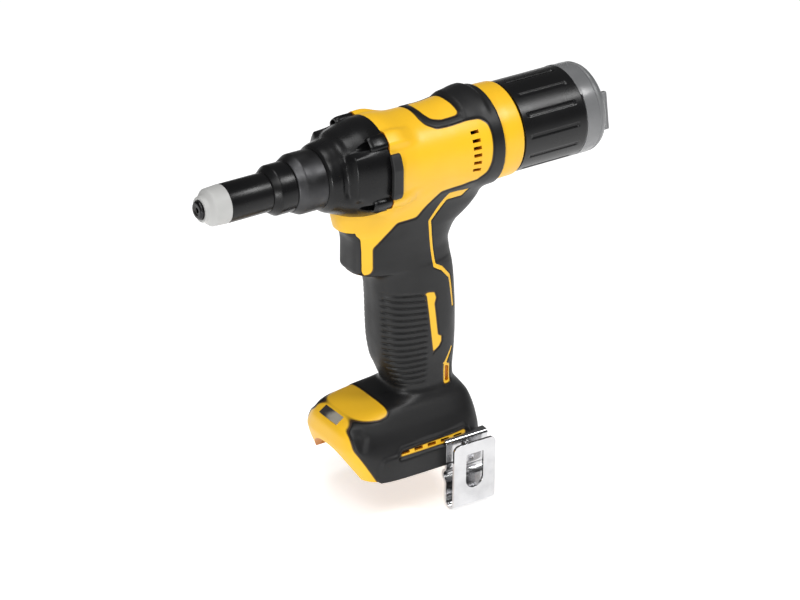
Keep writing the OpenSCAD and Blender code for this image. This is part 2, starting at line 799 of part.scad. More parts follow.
// Left half of the raised pad on top of the barrel's rear end: its outline as shares of the barrel's
// length and radius, and the shares of the radius where its side stands
pad_shares = [[0.755, 0.95], [0.795, 1.055], [0.94, 1.075], [0.985, 1]];
pad_side_shares = [[0.58, 0], [0.58, 0.58], [0.3, 1.13]];
module rear_pad(inset) {
    outline = [for (p = pad_shares) [front_s + p[0] * barrel_l, p[1] * barrel_r - inset]];
    side = [for (p = pad_side_shares) [p[0] * barrel_r - inset, p[1] * barrel_r]];
    first = outline[0];
    last = outline[len(outline) - 1];
    top = side[len(side) - 1];
    intersection() {
        turned(concat([[first[0], 0]], outline, [[last[0], 0]]), half_turn);
        translate([-barrel_s, 0, 0]) rotate([90, 0, 90]) linear_extrude(barrel_l)
            polygon(concat([[-over, 0]], side, [[-over, top[1]]]));
    }
}

// Left half of the housing's outer form, or of its core under the rubber
module form_half(inset) {
    barrel_half(inset);
    rear_pad(inset);
    difference() {
        lofted_half(inset);
        rod(ring_s - over, front_s + over, grip_seat_r);
        rod(barrel_s, rear_s + over, rear_r + run_gap);
    }
}

// Side outline from shares: reach from the handle's middle in handle depths, drop in foot drops
function side_points(shares) = [for (p = shares) [p[0] * grip_depth - grip_s, -p[1] * foot_drop]];

// Side outlines extruded through the left half
module through_left(shares) {
    rotate([90, 0, 0]) mirror([0, 0, 1]) linear_extrude(foot_w) polygon(side_points(shares));
}

// Rubber of the handle and foot, as a side outline
rubber_shares = [[-0.95, 0.04], [-0.72, 0.098], [-0.14, 0.098], [0.118, 0.178], [0.38, 0.179],
    [0.683, 0.247], [0.702, 0.325], [0.7, 0.352], [0.78, 0.362], [0.78, 0.72], [0.58, 0.8], [0.6, 0.806],
    [0.98, 0.816], [1.07, 0.832], [1.07, 0.888], [0.92, 1.01], [-0.8, 1.01], [-0.8, 0.16], [-0.95, 0.15]];
// Yellow flash behind the trigger grip, thin line down the handle's rear and the lower strip
flash_shares = [[-0.25, 0.131], [-0.3, 0.116], [-0.59, 0.124], [-0.52, 0.144], [-0.3, 0.141],
    [-0.09, 0.202], [-0.17, 0.356], [-0.27, 0.372], [-0.4, 0.413], [-0.455, 0.521], [-0.43, 0.521],
    [-0.375, 0.419], [-0.26, 0.383], [-0.14, 0.364], [-0.055, 0.201]];
strip_shares = [[0.007, 0.443], [-0.15, 0.447], [-0.165, 0.47], [-0.185, 0.586], [-0.245, 0.604],
    [-0.226, 0.629], [-0.1, 0.664], [-0.105, 0.644]];
frame_shares = [[-0.29, 0.702], [-0.42, 0.716], [-0.41, 0.782], [-0.29, 0.781]];
frame_slot_shares = [[-0.325, 0.716], [-0.385, 0.724], [-0.38, 0.772], [-0.325, 0.771]];

foot_strip_shares = [[0.57, 0.934], [0.5, 0.914], [-0.4, 0.905], [-0.43, 0.918], [-0.38, 0.931]];

// Rear band and top frame of the barrel's rubber, with the bare window in it
band_share = 0.91;
frame_share = 0.388;
window_share = 0.425;
window_end_share = 0.722;
frame_top_share = 0.7;
window_top_z_share = 0.8;
band_s = front_s + band_share * barrel_l;
frame_s = front_s + frame_share * barrel_l;
window_s = front_s + window_share * barrel_l;
window_end_s = front_s + window_end_share * barrel_l;
frame_z = frame_top_share * barrel_r;
window_z = window_top_z_share * barrel_r;

// Where rubber covers the left half
module rubber_zone() {
    difference() {
        union() {
            through_left(rubber_shares);
            span([-barrel_s - over, 0, -barrel_r - over], [-band_s, barrel_r + over, 2 * barrel_r]);
            span([-barrel_s, 0, frame_z], [-frame_s, barrel_r + over, 2 * barrel_r]);
        }
        span([-window_end_s, -over, window_z], [-window_s, barrel_r + over, barrel_r + 2 * over]);
        through_left(flash_shares);
        through_left(strip_shares);
        through_left(frame_shares);
        through_left(foot_strip_shares);
    }
}

// Vent slots of the barrel's left side
vent_share = 0.778;
vent_s = front_s + vent_share * barrel_l;
vent_first_a = 57;
vent_step_a = 9.7;
module barrel_vents() {
    for (i = [0 : vent_count - 1]) around(vent_first_a + i * vent_step_a)
        span([-vent_s - vent_l / 2, -vent_h / 2, cavity_r - over],
            [-vent_s + vent_l / 2, vent_h / 2, barrel_r + over]);
}

// Trigger and its room
trigger_front_share = 0.38;
trigger_top_share = 0.2025;
trigger_low_share = 0.355;
trigger_front_s = front_s - trigger_front_share * grip_depth;
trigger_top = trigger_top_share * foot_drop;
trigger_room_top = trigger_top - slide_gap;
trigger_room_low = trigger_low_share * foot_drop;
trigger_back_s = trigger_front_s + trigger_d;
switch_s = trigger_back_s + trigger_travel + stop_gap;
switch_l = 26;
switch_h = 30;
switch_w = 20;
channel_w = 22;
channel_front_share = 0.22;
channel_rear_share = 0.33;

// Foot pieces
bay_top = foot_drop - bay_h;
module_h = 14;
module_l = 54;
module_w = 36;
module_front_share = 0.42;
bay_rear_share = 0.32;
rail_front_share = 0.48;
arch_share = 0.35;
hook_share = 0.2;
hook_screw_share = 0.9505;
insert_wall_share = 0.7;
insert_face_share = 0.49;
module_front_s = grip_s - module_front_share * foot_l;
bay_rear_s = grip_s + bay_rear_share * foot_l;
rail_front_s = grip_s - rail_front_share * foot_l;
rail_drop = foot_drop - rail_t;
arch_half = arch_share * foot_w;
arch_r = (arch_half * arch_half + bay_h * bay_h) / bay_h / 2;
hook_s = grip_s + hook_share * foot_l;
hook_screw_drop = hook_screw_share * foot_drop;
insert_r = insert_bore_r + insert_wall_share * insert_bore_r;
insert_face = insert_face_share * foot_w;

// Room inside the left half for the mechanism
module inner_room() {
    rod(front_s - over, barrel_s + over, cavity_r);
    at_bosses() rod(front_s - over, boss_head_s - boss_head_t + boss_screw_l + over, boss_hole_r);
    span([-trigger_back_s - trigger_travel - slide_gap, -over, -trigger_room_low],
        [-trigger_front_s + grip_depth, trigger_w / 2 + slide_gap, -trigger_room_top]);
    span([-switch_s - switch_l, -over, -trigger_top - switch_h],
        [-trigger_back_s, switch_w / 2 + seat_gap, -trigger_top]);
    span([-grip_s - channel_rear_share * grip_depth, -over, -bay_top],
        [-grip_s + channel_front_share * grip_depth, channel_w / 2, -trigger_room_low]);
    span([-module_front_s - module_l, -over, -bay_top - over],
        [-module_front_s, module_w / 2 + seat_gap, -bay_top + module_h]);
}

// Battery bay with its rail, open to the front and below
module battery_bay() {
    difference() {
        span([-bay_rear_s, -over, -foot_drop - over], [-rail_front_s, bay_half, -bay_top]);
        span([-bay_rear_s - over, bay_half - rail_w, -rail_drop - rail_t - over],
            [-rail_front_s + over, bay_half + over, -rail_drop]);
    }
    intersection() {
        translate([-rail_front_s - over, 0, -bay_top - arch_r]) rotate(on_barrel())
            cylinder(h = foot_l, r = arch_r);
        span([-rail_front_s - over, -over, -foot_drop - over],
            [-grip_s + foot_l, bay_half, -bay_top + over]);
    }
}

// Vent slots in the foot's left side and the slot for the belt hook's tab
foot_vent_first_share = 0.26;
foot_vent_pitch_share = 0.09;
foot_vent_drop_share = 0.92;
foot_vent_y_share = 0.43;
foot_vent_s = grip_s - foot_vent_first_share * foot_l;
foot_vent_pitch = foot_vent_pitch_share * foot_l;
foot_vent_drop = foot_vent_drop_share * foot_drop;
foot_vent_y = foot_vent_y_share * foot_w;
module side_slots() {
    for (i = [0 : foot_vent_count - 1]) let (s = foot_vent_s + i * foot_vent_pitch)
        span([-s - vent_l / 2, foot_vent_y, -foot_vent_drop - vent_h / 2],
            [-s + vent_l / 2, foot_w, -foot_vent_drop + vent_h / 2]);
    slot_y = hook_inner_y - hook_bend - hook_tab - seat_gap;
    slot_half = hook_t / 2 + seat_gap;
    span([-hook_s - hook_w / 2 - seat_gap, slot_y, -hook_top - slot_half],
        [-hook_s + hook_w / 2 + seat_gap, foot_w, -hook_top + slot_half]);
}

// Light window in the foot's sloped front
led_l = 19.5;
led_h = 6.5;
led_t = 2;
led_tilt = 56;
led_reach_share = 0.573;
led_drop_share = 0.8215;
led_place = [-grip_s + led_reach_share * foot_l, 0, -led_drop_share * foot_drop];
led_board_t = 1.2;
module at_led() {
    translate(led_place) rotate([0, -led_tilt, 0]) children();
}

module led_block(gap, from, to) {
    at_led() span([-to, -led_l / 2 - gap, -led_h / 2 - gap],
        [-from, led_l / 2 + gap, led_h / 2 + gap]);
}

// Screws that hold the halves together: reach, drop and depth of the head's seat as shares
screw_shares = [[0.648, 0.177, 0.3], [-0.56, 0.177, 0.26], [0.352, 0.453, 0.34], [-0.42, 0.69, 0.32],
    [0.889, 0.892, 0.66], [-0.48, 0.892, 0.58]];
screw_head_r = 2.9;
screw_head_t = 2.2;
screw_shank_r = 1.4;
screw_reach = 7;

// Puts what stands on a case screw's seat in place, pointing left
module at_screw(p) {
    translate([p[0] * grip_depth - grip_s, -p[2] * grip_w, -p[1] * foot_drop]) rotate([-90, 0, 0])
        children();
}

module screw_holes() {
    for (p = screw_shares) at_screw(p) union() {
        translate([0, 0, -foot_w]) cylinder(h = foot_w, r = screw_head_r + seat_gap);
        translate([0, 0, -over])
            cylinder(h = p[2] * grip_w + screw_reach + over + run_gap, r = screw_shank_r);
    }
}

module insert_holes() {
    translate([-hook_s, 0, -hook_screw_drop]) rotate([-90, 0, 0])
        translate([0, 0, insert_face - insert_l]) cylinder(h = insert_l + foot_w, r = insert_r);
}

// Left half of the moulded housing, before the screws
module housing_half() {
    difference() {
        union() {
            form_half(rubber_t);
            left_ears();
            difference() {
                form_half(0);
                rubber_zone();
            }
        }
        inner_room();
        battery_bay();
        barrel_vents();
        through_left(frame_slot_shares);
        insert_holes();
        side_slots();
        led_block(seat_gap, -over, led_t + led_board_t);
    }
}

// Grooves between the grip ribs, following the handle's section at each height
rib_first_share = 0.455;
rib_pitch_share = 0.0185;
groove_share = 0.4;
groove_steps = 8;
groove_front_a = 14;
groove_rear_a = 92;
function grip_column(z, i) = lookup(z, [for (part = sections(rib_depth)) [part[0], part[i]]]);
module grip_grooves() {
    for (k = [0 : rib_count - 1]) {
        z = -foot_drop * (rib_first_share + k * rib_pitch_share);
        part = [z, for (i = [1 : 4]) grip_column(z, i)];
        inner = [for (i = [0 : groove_steps])
            section_point(part, groove_front_a + (groove_rear_a - groove_front_a) * i / groove_steps)];
        first = inner[0];
        last = inner[groove_steps];
        translate([0, 0, z]) linear_extrude(foot_drop * rib_pitch_share * groove_share)
            polygon(concat([for (p = inner) [p[0], p[1]]],
                [[last[0], grip_w], [first[0] + grip_w / 2, grip_w], [first[0] + grip_w / 2, first[1]]]));
    }
}

// Left half of the rubber
module rubber_half() {
    difference() {
        intersection() {
            form_half(0);
            rubber_zone();
        }
        form_half(rubber_t);
        insert_holes();
        battery_bay();
        side_slots();
        grip_grooves();
        led_block(seat_gap, -over, led_t + led_board_t);
    }
}

module housing_left() {
    color([0.95, 0.72, 0.08]) difference() {
        housing_half();
        screw_holes();
    }
}

module housing_right() {
    color([0.95, 0.72, 0.08]) difference() {
        mirror([0, 1, 0]) housing_half();
        screw_holes();
    }
}

module grip_left() {
    color([0.13, 0.13, 0.135]) rubber_half();
}

module grip_right() {
    color([0.13, 0.13, 0.135]) difference() {
        mirror([0, 1, 0]) rubber_half();
        screw_holes();
    }
}

module housing_screws() {
    color([0.2, 0.2, 0.21]) for (p = screw_shares) at_screw(p) union() {
        translate([0, 0, -screw_head_t]) cylinder(h = screw_head_t, r = screw_head_r);
        translate([0, 0, -screw_head_t / 2])
            cylinder(h = p[2] * grip_w + screw_reach + screw_head_t / 2, r = screw_shank_r);
    }
}

// Raised rubber bars on both flanks behind the front housing
bumper_s = front_s + run_gap;
bumper_l = 6.5;
bumper_first_a = 60;
bumper_sweep_a = 52;
bumper_seat_share = 1.004;
module side_bumpers() {
    seat = bumper_seat_share * barrel_r;
    edge = bumper_t / 2;
    outline = [[bumper_s, seat], [bumper_s, seat + bumper_t - edge], [bumper_s + edge, seat + bumper_t],
        [bumper_s + bumper_l - edge, seat + bumper_t], [bumper_s + bumper_l, seat + bumper_t - edge],
        [bumper_s + bumper_l, seat]];
    color([0.16, 0.16, 0.165]) for (side = [0, 1]) mirror([0, side, 0])
        around(bumper_first_a + bumper_sweep_a - half_turn) turned(outline, bumper_sweep_a);
}

// Trigger

// Trigger sections: share of its height, front reach as a share of its depth, half width as a
// share of its width, squareness
trigger_shares = [[0, 1, 0.48, 3.4], [0.066, 0.956, 0.49, 3.2], [0.15, 0.867, 0.5, 3],
    [0.264, 0.818, 0.5, 3], [0.46, 0.8, 0.5, 3], [0.69, 0.8, 0.5, 3], [0.825, 0.782, 0.5, 3],
    [0.924, 0.72, 0.49, 3], [0.977, 0.613, 0.47, 3], [1, 0.444, 0.42, 3]];

module trigger() {
    parts = [for (row = trigger_shares) [-trigger_top - row[0] * trigger_h,
        row[1] * trigger_d / 2 - trigger_back_s, row[1] * trigger_d / 2, row[2] * trigger_w, row[3]]];
    plunger_z = -trigger_top - trigger_h / 2;
    color([0.1, 0.1, 0.105]) union() {
        lofted_ring(parts);
        translate([-switch_s - trigger_travel / 2, 0, plunger_z]) rotate(on_barrel())
            cylinder(h = switch_s + trigger_travel / 2 - trigger_back_s + trigger_d / 2, r = plunger_r);
    }
}

module trigger_switch() {
    bore_z = -trigger_top - trigger_h / 2;
    color([0.08, 0.08, 0.085]) difference() {
        span([-switch_s - switch_l, -switch_w / 2, -trigger_top - switch_h],
            [-switch_s, switch_w / 2, -trigger_top]);
        translate([-switch_s - 2 * trigger_travel, 0, bore_z]) rotate(on_barrel())
            cylinder(h = 2 * trigger_travel + over, r = plunger_r + run_gap);
    }
}

// Foot fittings

module control_module() {
    color([0.12, 0.12, 0.13]) span([-module_front_s - module_l, -module_w / 2, -bay_top],
        [-module_front_s, module_w / 2, -bay_top + module_h - seat_gap]);
}

block_l = 36;
block_w = 30;
block_h = 9;
block_share = 0.2;
block_s = grip_s - block_share * foot_l;
blade_count = 5;
blade_l = 24;
blade_t = 0.8;
blade_h = 5;
blade_pitch = 6;
module terminal_block() {
    color([0.07, 0.07, 0.075]) difference() {
        span([-block_s - block_l, -block_w / 2, -bay_top - block_h], [-block_s, block_w / 2, -bay_top]);
        for (i = [0 : blade_count - 1]) let (y = (i - (blade_count - 1) / 2) * blade_pitch)
            span([-block_s - blade_l - over, y - blade_t * 3 / 2, -bay_top - block_h - over],
                [-block_s + over, y + blade_t * 3 / 2, -bay_top - block_h + blade_h]);
    }
}

module terminal_blades() {
    color([0.8, 0.66, 0.3]) for (i = [0 : blade_count - 1])
        let (y = (i - (blade_count - 1) / 2) * blade_pitch)
        span([-block_s - blade_l, y - blade_t / 2, -bay_top - block_h + blade_t],
            [-block_s - blade_t, y + blade_t / 2, -bay_top - block_h + blade_h]);
}

module led_lens() {
    color([0.25, 0.24, 0.22]) led_block(0, 0, led_t);
}

module led_board() {
    color([0.85, 0.85, 0.8]) led_block(-seat_gap, led_t, led_t + led_board_t);
}

// Belt hook, a bent strip seen from the front as points of Y and Z
function arc_points(middle, r, from, to, steps) =
    [for (i = [0 : steps]) let (a = from + (to - from) * i / steps) middle + at(r, a)];
function unit(v) = v / norm(v);
function side_of(path, i) =
    let (d = unit(path[min(i + 1, len(path) - 1)] - path[max(i - 1, 0)])) [-d[1], d[0]];
// Outline of a strip of a thickness along a path
function ribbon(path, t) = concat(
    [for (i = [0 : len(path) - 1]) path[i] + side_of(path, i) * t / 2],
    [for (i = [len(path) - 1 : -1 : 0]) path[i] - side_of(path, i) * t / 2]);

hook_bend_share = 1.2;
hook_top_share = 0.9225;
hook_tab_share = 0.04;
hook_kick_share = 0.4;
hook_bend = hook_bend_share * hook_t;
hook_inner_y = foot_w / 2 + seat_gap + hook_t / 2;
hook_outer_y = hook_inner_y + hook_gap + hook_t;
hook_top = hook_top_share * foot_drop;
hook_low = foot_drop + hook_hang - (hook_gap + hook_t) / 2;
hook_tab = hook_tab_share * foot_w;
hook_kick = hook_kick_share * hook_gap;
hook_path = concat(
    [[hook_inner_y - hook_bend - hook_tab, -hook_top]],
    arc_points([hook_inner_y - hook_bend, -hook_top - hook_bend], hook_bend, 90, 0, 6),
    [[hook_inner_y, -foot_drop - hook_t],
        [hook_inner_y - hook_kick, -foot_drop - 2 * hook_gap / 3 - hook_t],
        [hook_inner_y - hook_kick, -foot_drop - hook_gap - hook_t],
        [hook_inner_y, -foot_drop - 2 * hook_gap]],
    arc_points([(hook_inner_y + hook_outer_y) / 2, -hook_low], (hook_gap + hook_t) / 2, 180, 360, 14),
    [[hook_outer_y, -hook_low + hook_plate_h - hook_gap / 2]]);
window_w_share = 0.42;
window_low_share = 0.27;
window_top_share = 0.78;
hook_hole_r = 2.2;
module belt_hook() {
    plate_low = -foot_drop - hook_hang;
    window_r = hook_w * window_w_share / 2;
    corner = hook_w / 7;
    top = -hook_low + hook_plate_h - hook_gap / 2;
    color([0.75, 0.75, 0.77]) difference() {
        translate([-hook_s - hook_w / 2, 0, 0]) rotate([90, 0, 90]) linear_extrude(hook_w)
            polygon(ribbon(hook_path, hook_t));
        translate([-hook_s, hook_outer_y - hook_t, 0]) rotate([90, 0, 0]) mirror([0, 0, 1])
            linear_extrude(2 * hook_t) union() {
                translate([-window_r, plate_low + hook_plate_h * window_low_share + window_r])
                    square([2 * window_r, hook_plate_h * (window_top_share - window_low_share) - window_r]);
                translate([0, plate_low + hook_plate_h * window_low_share + window_r]) circle(r = window_r);
            }
        for (side = [-1, 1])
            translate([-hook_s + side * (hook_w / 2 - corner), hook_outer_y - hook_t, top - corner])
            rotate([90, 0, 0]) mirror([0, 0, 1]) linear_extrude(2 * hook_t) difference() {
                translate([side > 0 ? 0 : -corner - over, 0]) square(corner + over);
                circle(r = corner);
            }
        translate([-hook_s, hook_inner_y - hook_gap / 2, -hook_screw_drop]) rotate([-90, 0, 0])
            cylinder(h = hook_gap, r = hook_hole_r);
    }
}

hook_head_r = 3.6;
hook_head_t = 2;
module hook_screw() {
    color([0.6, 0.6, 0.62]) translate([-hook_s, 0, -hook_screw_drop]) rotate([-90, 0, 0]) union() {
        translate([0, 0, hook_inner_y + hook_t / 2]) cylinder(h = hook_head_t, r = hook_head_r);
        translate([0, 0, insert_face - insert_l])
            cylinder(h = hook_inner_y + hook_t - insert_face + insert_l, r = insert_bore_r);
    }
}

module hook_inserts() {
    color([0.75, 0.6, 0.25]) for (side = [0, 1]) mirror([0, side, 0])
        translate([-hook_s, 0, -hook_screw_drop]) rotate([-90, 0, 0]) difference() {
            translate([0, 0, insert_face - insert_l]) cylinder(h = insert_l, r = insert_r - seat_gap);
            translate([0, 0, insert_face - insert_l - over])
                cylinder(h = insert_l + 2 * over, r = insert_bore_r);
        }
}

// Rear ring and mandrel container

module rear_ring() {
    color([0.95, 0.72, 0.08]) difference() {
        union() {
            rod(barrel_s, rear_s, rear_r);
            rod(hub_s, barrel_s + over, cavity_r - seat_gap);
        }
        rod(hub_s - over, rear_bearing_end_s, motor_bearing_r);
        rod(hub_s, pocket_s + over, tube_r + fit_gap);
        rod(pocket_s, rear_s + over, pocket_r);
    }
}

module cup_groove(a) {
    around(a) span([-cup_s + groove_margin, -groove_w / 2, cup_r - groove_depth],
        [-rear_s - groove_margin, groove_w / 2, cup_r + over]);
}

module container_cup() {
    color([0.05, 0.05, 0.055]) difference() {
        union() {
            rod(rear_s + run_gap, cup_s, cup_r);
            rod(neck_s, rear_s + cup_t, cup_neck_r);
        }
        for (i = [0 : groove_count - 1]) cup_groove(i * full_turn / groove_count);
        rod(neck_s - over, neck_s + 2 * neck_wall, neck_hole_r);
        rod(neck_s + neck_wall, rear_s + 2 * cup_t, cup_neck_r - cup_t);
        rod(rear_s + cup_t, cup_s + over, cup_r - cup_t);
        tube(seal_s, seal_s + seal_w, cup_r, cup_neck_r - seal_in);
    }
}

module container_seal() {
    color([0.03, 0.03, 0.03]) tube(seal_s, seal_s + seal_w, pocket_r - run_gap, cup_neck_r - seal_in);
}

module container_cap() {
    rim_s = cap_s - cap_rim_l;
    end_r = cup_r - cap_rim_step;
    color([0.55, 0.57, 0.6, 0.6]) difference() {
        union() {
            turned([[cup_s + run_gap, 0], [cup_s + run_gap, cup_r], [rim_s, cup_r],
                [cap_s - cap_rim_l / 4, end_r + cap_rim_step / 3], [cap_s, end_r], [cap_s, 0]]);
            rod(cup_s - plug_l, cup_s + cap_t, plug_r);
            around(bar_a) span([-cap_s - bar_h, -bar_l / 2, end_r - bar_t - bar_t / 2],
                [-cap_s + cap_t / 2, bar_l / 2, end_r - bar_t / 2]);
        }
        rod(cup_s - plug_l - over, cap_s - cap_t, plug_r - cap_t);
    }
}

$fn = 48;

nosepiece();
nose_cover();
nose_sleeve();
nose_collar();
lock_ring();
front_housing();
front_screws();
jaw_case();
jaw(0);  // jaw_1
jaw(1);  // jaw_2
jaw(2);  // jaw_3
jaw_pusher();
jaw_spring();
pull_screw();
ball_nut();
thrust_bearing();
nut_bearing();
planet_carrier();
planet(0);  // planet_1
planet(1);  // planet_2
planet(2);  // planet_3
ring_gear();
sun_gear();
rotor_shaft();
rotor_core();
stator();
stator_coils();
motor_plate();
motor_bearing(motor_s);  // motor_bearing_front
motor_bearing(rear_bearing_s);  // motor_bearing_rear
motor_board();
fan();
mandrel_tube();
rear_ring();
container_cup();
container_seal();
container_cap();
housing_left();
housing_right();
grip_left();
grip_right();
side_bumpers();
housing_screws();
trigger();
trigger_switch();
control_module();
terminal_block();
terminal_blades();
led_lens();
led_board();
belt_hook();
hook_screw();
hook_inserts();
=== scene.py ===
"""Battery rivet tool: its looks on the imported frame. Sizes are in millimetres until a mesh is made."""
import bmesh
import bpy
import numpy as np
from mathutils import Matrix, Vector


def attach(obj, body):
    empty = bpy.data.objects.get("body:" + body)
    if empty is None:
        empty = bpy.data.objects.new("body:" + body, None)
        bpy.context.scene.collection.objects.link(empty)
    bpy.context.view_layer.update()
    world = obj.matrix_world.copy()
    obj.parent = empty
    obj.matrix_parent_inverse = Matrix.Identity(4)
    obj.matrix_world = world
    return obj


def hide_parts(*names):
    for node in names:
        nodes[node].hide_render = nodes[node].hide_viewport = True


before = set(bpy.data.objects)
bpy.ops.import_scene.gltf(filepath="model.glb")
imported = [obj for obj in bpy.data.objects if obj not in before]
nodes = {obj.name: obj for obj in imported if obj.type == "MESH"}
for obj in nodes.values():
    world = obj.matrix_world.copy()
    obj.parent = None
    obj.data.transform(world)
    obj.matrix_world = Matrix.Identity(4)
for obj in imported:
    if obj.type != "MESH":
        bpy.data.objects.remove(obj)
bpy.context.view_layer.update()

MM = 0.001
TURN = 2 * np.pi
TINY, TINIEST = 1e-9, 1e-12
# Points closer than this are joined, and shorter edges than the second are dissolved, in metres
JOIN_GAP, SPECK = 2e-7, 1e-8
SEAT_GAP = 0.1

# Places along the barrel, counted back from the tip
SEAT_S, SHANK_S, COVER_S = 10, 15, 18.7
COLLAR_S, RING_S, WAIST_S = 48.3, 64, 84.1
FRONT_S, BARREL_S, REAR_S = 124.0, 205.3, 223.3
CUP_S, CAP_S, TAB_S = 272, 288, 292
# Radii about the barrel's axis
AXIS_R = 0.01
TIP_R, SHANK_R, SLEEVE_R, CORE_R, COLLAR_R, RING_R = 6, 5, 12.5, 11.4, 16.1, 19.3
BARREL_R, CAVITY_R, REAR_R, CUP_R = 31.5, 25.3, 30.9, 29.6
# Angles of the front screws, from the top towards the left
BOSSES = (40, -40, 122, -122)

# Shapes in numbers


def eased(at, table, column=1):
    """Smooth curve through a column of a table, over the places in its first column: cubic between
    neighbours, level at its highs and lows, and held past its ends."""
    p, v = table[:, 0], table[:, column]
    gap = np.diff(p)
    slope = np.diff(v) / gap
    tilt = np.zeros_like(v)
    same = slope[:-1] * slope[1:] > 0
    a, b = 2 * gap[1:] + gap[:-1], gap[1:] + 2 * gap[:-1]
    safe = np.where(same, slope[:-1], 1), np.where(same, slope[1:], 1)
    tilt[1:-1] = np.where(same, (a + b) / (a / safe[0] + b / safe[1]), 0)
    tilt[0], tilt[-1] = slope[0], slope[-1]
    at = np.clip(at, p[0], p[-1])
    i = np.clip(np.searchsorted(p, at) - 1, 0, len(p) - 2)
    t, g = (at - p[i]) / gap[i], gap[i]
    return (v[i] * (1 + 2 * t) * (1 - t) ** 2 + g * tilt[i] * t * (1 - t) ** 2
            + v[i + 1] * t * t * (3 - 2 * t) + g * tilt[i + 1] * t * t * (t - 1))


def step(low, high, at):
    """Rises from 0 at low to 1 at high along a smooth S."""
    t = np.clip((at - low) / (high - low), 0, 1)
    return t * t * (3 - 2 * t)


def band(rise, fall, at):
    """1 between an eased rise and an eased fall, each given as its start and end, and 0 outside them."""
    return step(*rise, at) * (1 - step(*fall, at))


def squared(wave, power):
    """A sine or cosine made squarer: its size to a power below 1, with its sign."""
    return np.sign(wave) * np.abs(wave) ** power


def level_in(u, v, corners):
    """Distance to a closed outline, above zero where the outline winds round the point."""
    p = np.asarray(corners, float)
    near, turns = np.full(np.shape(u), np.inf), np.zeros(np.shape(u))
    for (ax, ay), (bx, by) in zip(p, np.roll(p, -1, 0)):
        ex, ey = bx - ax, by - ay
        t = np.clip(((u - ax) * ex + (v - ay) * ey) / (ex * ex + ey * ey), 0, 1)
        near = np.minimum(near, np.hypot(u - ax - t * ex, v - ay - t * ey))
        side = ex * (v - ay) - ey * (u - ax)
        climbs = (ay <= v) & (by > v) & (side > 0)
        drops = (ay > v) & (by <= v) & (side < 0)
        turns = turns + climbs - 1.0 * drops
    return np.where(turns != 0, near, -near)


def soft_level(u, v, corners, r, count=8):
    """level_in averaged over its point and a ring of radius r, so that the outline's corners are rounded."""
    turn = np.arange(count) * TURN / count
    total = sum(level_in(u + r * np.cos(t), v + r * np.sin(t), corners) for t in turn)
    return (total + level_in(u, v, corners)) / (count + 1)


def rounded(corners, r, steps=5, most=0.45):
    """Closed outline with every corner replaced by a curve that touches both sides, no further along a side
    than the given share of it."""
    p = np.asarray(corners, float)
    out = []
    for before, at, after in zip(np.roll(p, 1, 0), p, np.roll(p, -1, 0)):
        a, b = before - at, after - at
        la, lb = np.linalg.norm(a), np.linalg.norm(b)
        cut = min(r, la * most, lb * most)
        w = np.linspace(0, 1, steps)[:, None]
        start, end = at + a / la * cut, at + b / lb * cut
        out.append((1 - w) ** 2 * start + 2 * w * (1 - w) * at + w * w * end)
    return np.concatenate(out)


def arc(u, v, r, start, end, count):
    """Points round a middle u, v from one angle to another, in degrees."""
    t = np.radians(np.linspace(start, end, count))
    return np.stack([u + r * np.cos(t), v + r * np.sin(t)], 1)


def circle(u, v, r, count=24):
    """Closed outline of a circle."""
    return arc(u, v, r, 0, 360, count + 1)[:-1]


def rectangle(u0, u1, v0, v1):
    """Closed outline of a rectangle."""
    return [(u0, v0), (u1, v0), (u1, v1), (u0, v1)]


# Meshes


def grid_faces(rows, cols, loop_rows=False, loop_cols=False):
    """Quads of a grid of points, counted row by row."""
    j, k = np.meshgrid(np.arange(rows if loop_rows else rows - 1),
                       np.arange(cols if loop_cols else cols - 1), indexing="ij")
    j2, k2 = (j + 1) % rows, (k + 1) % cols
    return np.stack([j * cols + k, j * cols + k2, j2 * cols + k2, j2 * cols + k], -1).reshape(-1, 4)


def mesh_of(name, points, faces, extra=(), uv=None):
    """Mesh from points in millimetres, with equal points joined. The faces of a closed mesh are turned
    outward."""
    points = np.asarray(points, float).reshape(-1, 3)
    mesh = bpy.data.meshes.new(name)
    mesh.from_pydata((points * MM).tolist(), [], np.asarray(faces).tolist() + [list(e) for e in extra])
    if uv is not None:
        index = np.zeros(len(mesh.loops), np.int32)
        mesh.loops.foreach_get("vertex_index", index)
        layer = mesh.uv_layers.new(name="marks")
        layer.data.foreach_set("uv", np.asarray(uv, np.float32).reshape(-1, 2)[index].ravel())
    work = bmesh.new()
    work.from_mesh(mesh)
    bmesh.ops.remove_doubles(work, verts=work.verts, dist=JOIN_GAP)
    bmesh.ops.dissolve_degenerate(work, edges=work.edges, dist=SPECK)
    if not any(e.is_boundary for e in work.edges):
        bmesh.ops.recalc_face_normals(work, faces=work.faces)
    work.to_mesh(mesh)
    work.free()
    return mesh


def joined(name, *meshes):
    """One mesh from several."""
    work = bmesh.new()
    for m in meshes:
        work.from_mesh(m)
    out = bpy.data.meshes.new(name)
    work.to_mesh(out)
    work.free()
    return out


def lathe(name, outline, count=160, bump=None):
    """Closed ring: an outline of place behind the tip and radius, turned about the barrel axis.
    bump(place, angle, radius) is added to the radius."""
    p = np.asarray(outline, float)
    s, a = np.meshgrid(p[:, 0], np.arange(count) * TURN / count, indexing="ij")
    r = np.repeat(p[:, 1:2], count, 1)
    if bump is not None:
        r = r + bump(s, a, r)
    points = np.stack([-s, r * np.sin(a), r * np.cos(a)], -1)
    return mesh_of(name, points, grid_faces(len(p), count, True, True))


def lofted(name, points):
    """Closed bar through rows of points: each row is a closed section, and both ends have a flat face."""
    rows, cols = points.shape[:2]
    ends = [range(cols), range(rows * cols - 1, (rows - 1) * cols - 1, -1)]
    return mesh_of(name, points, grid_faces(rows, cols, False, True), ends)


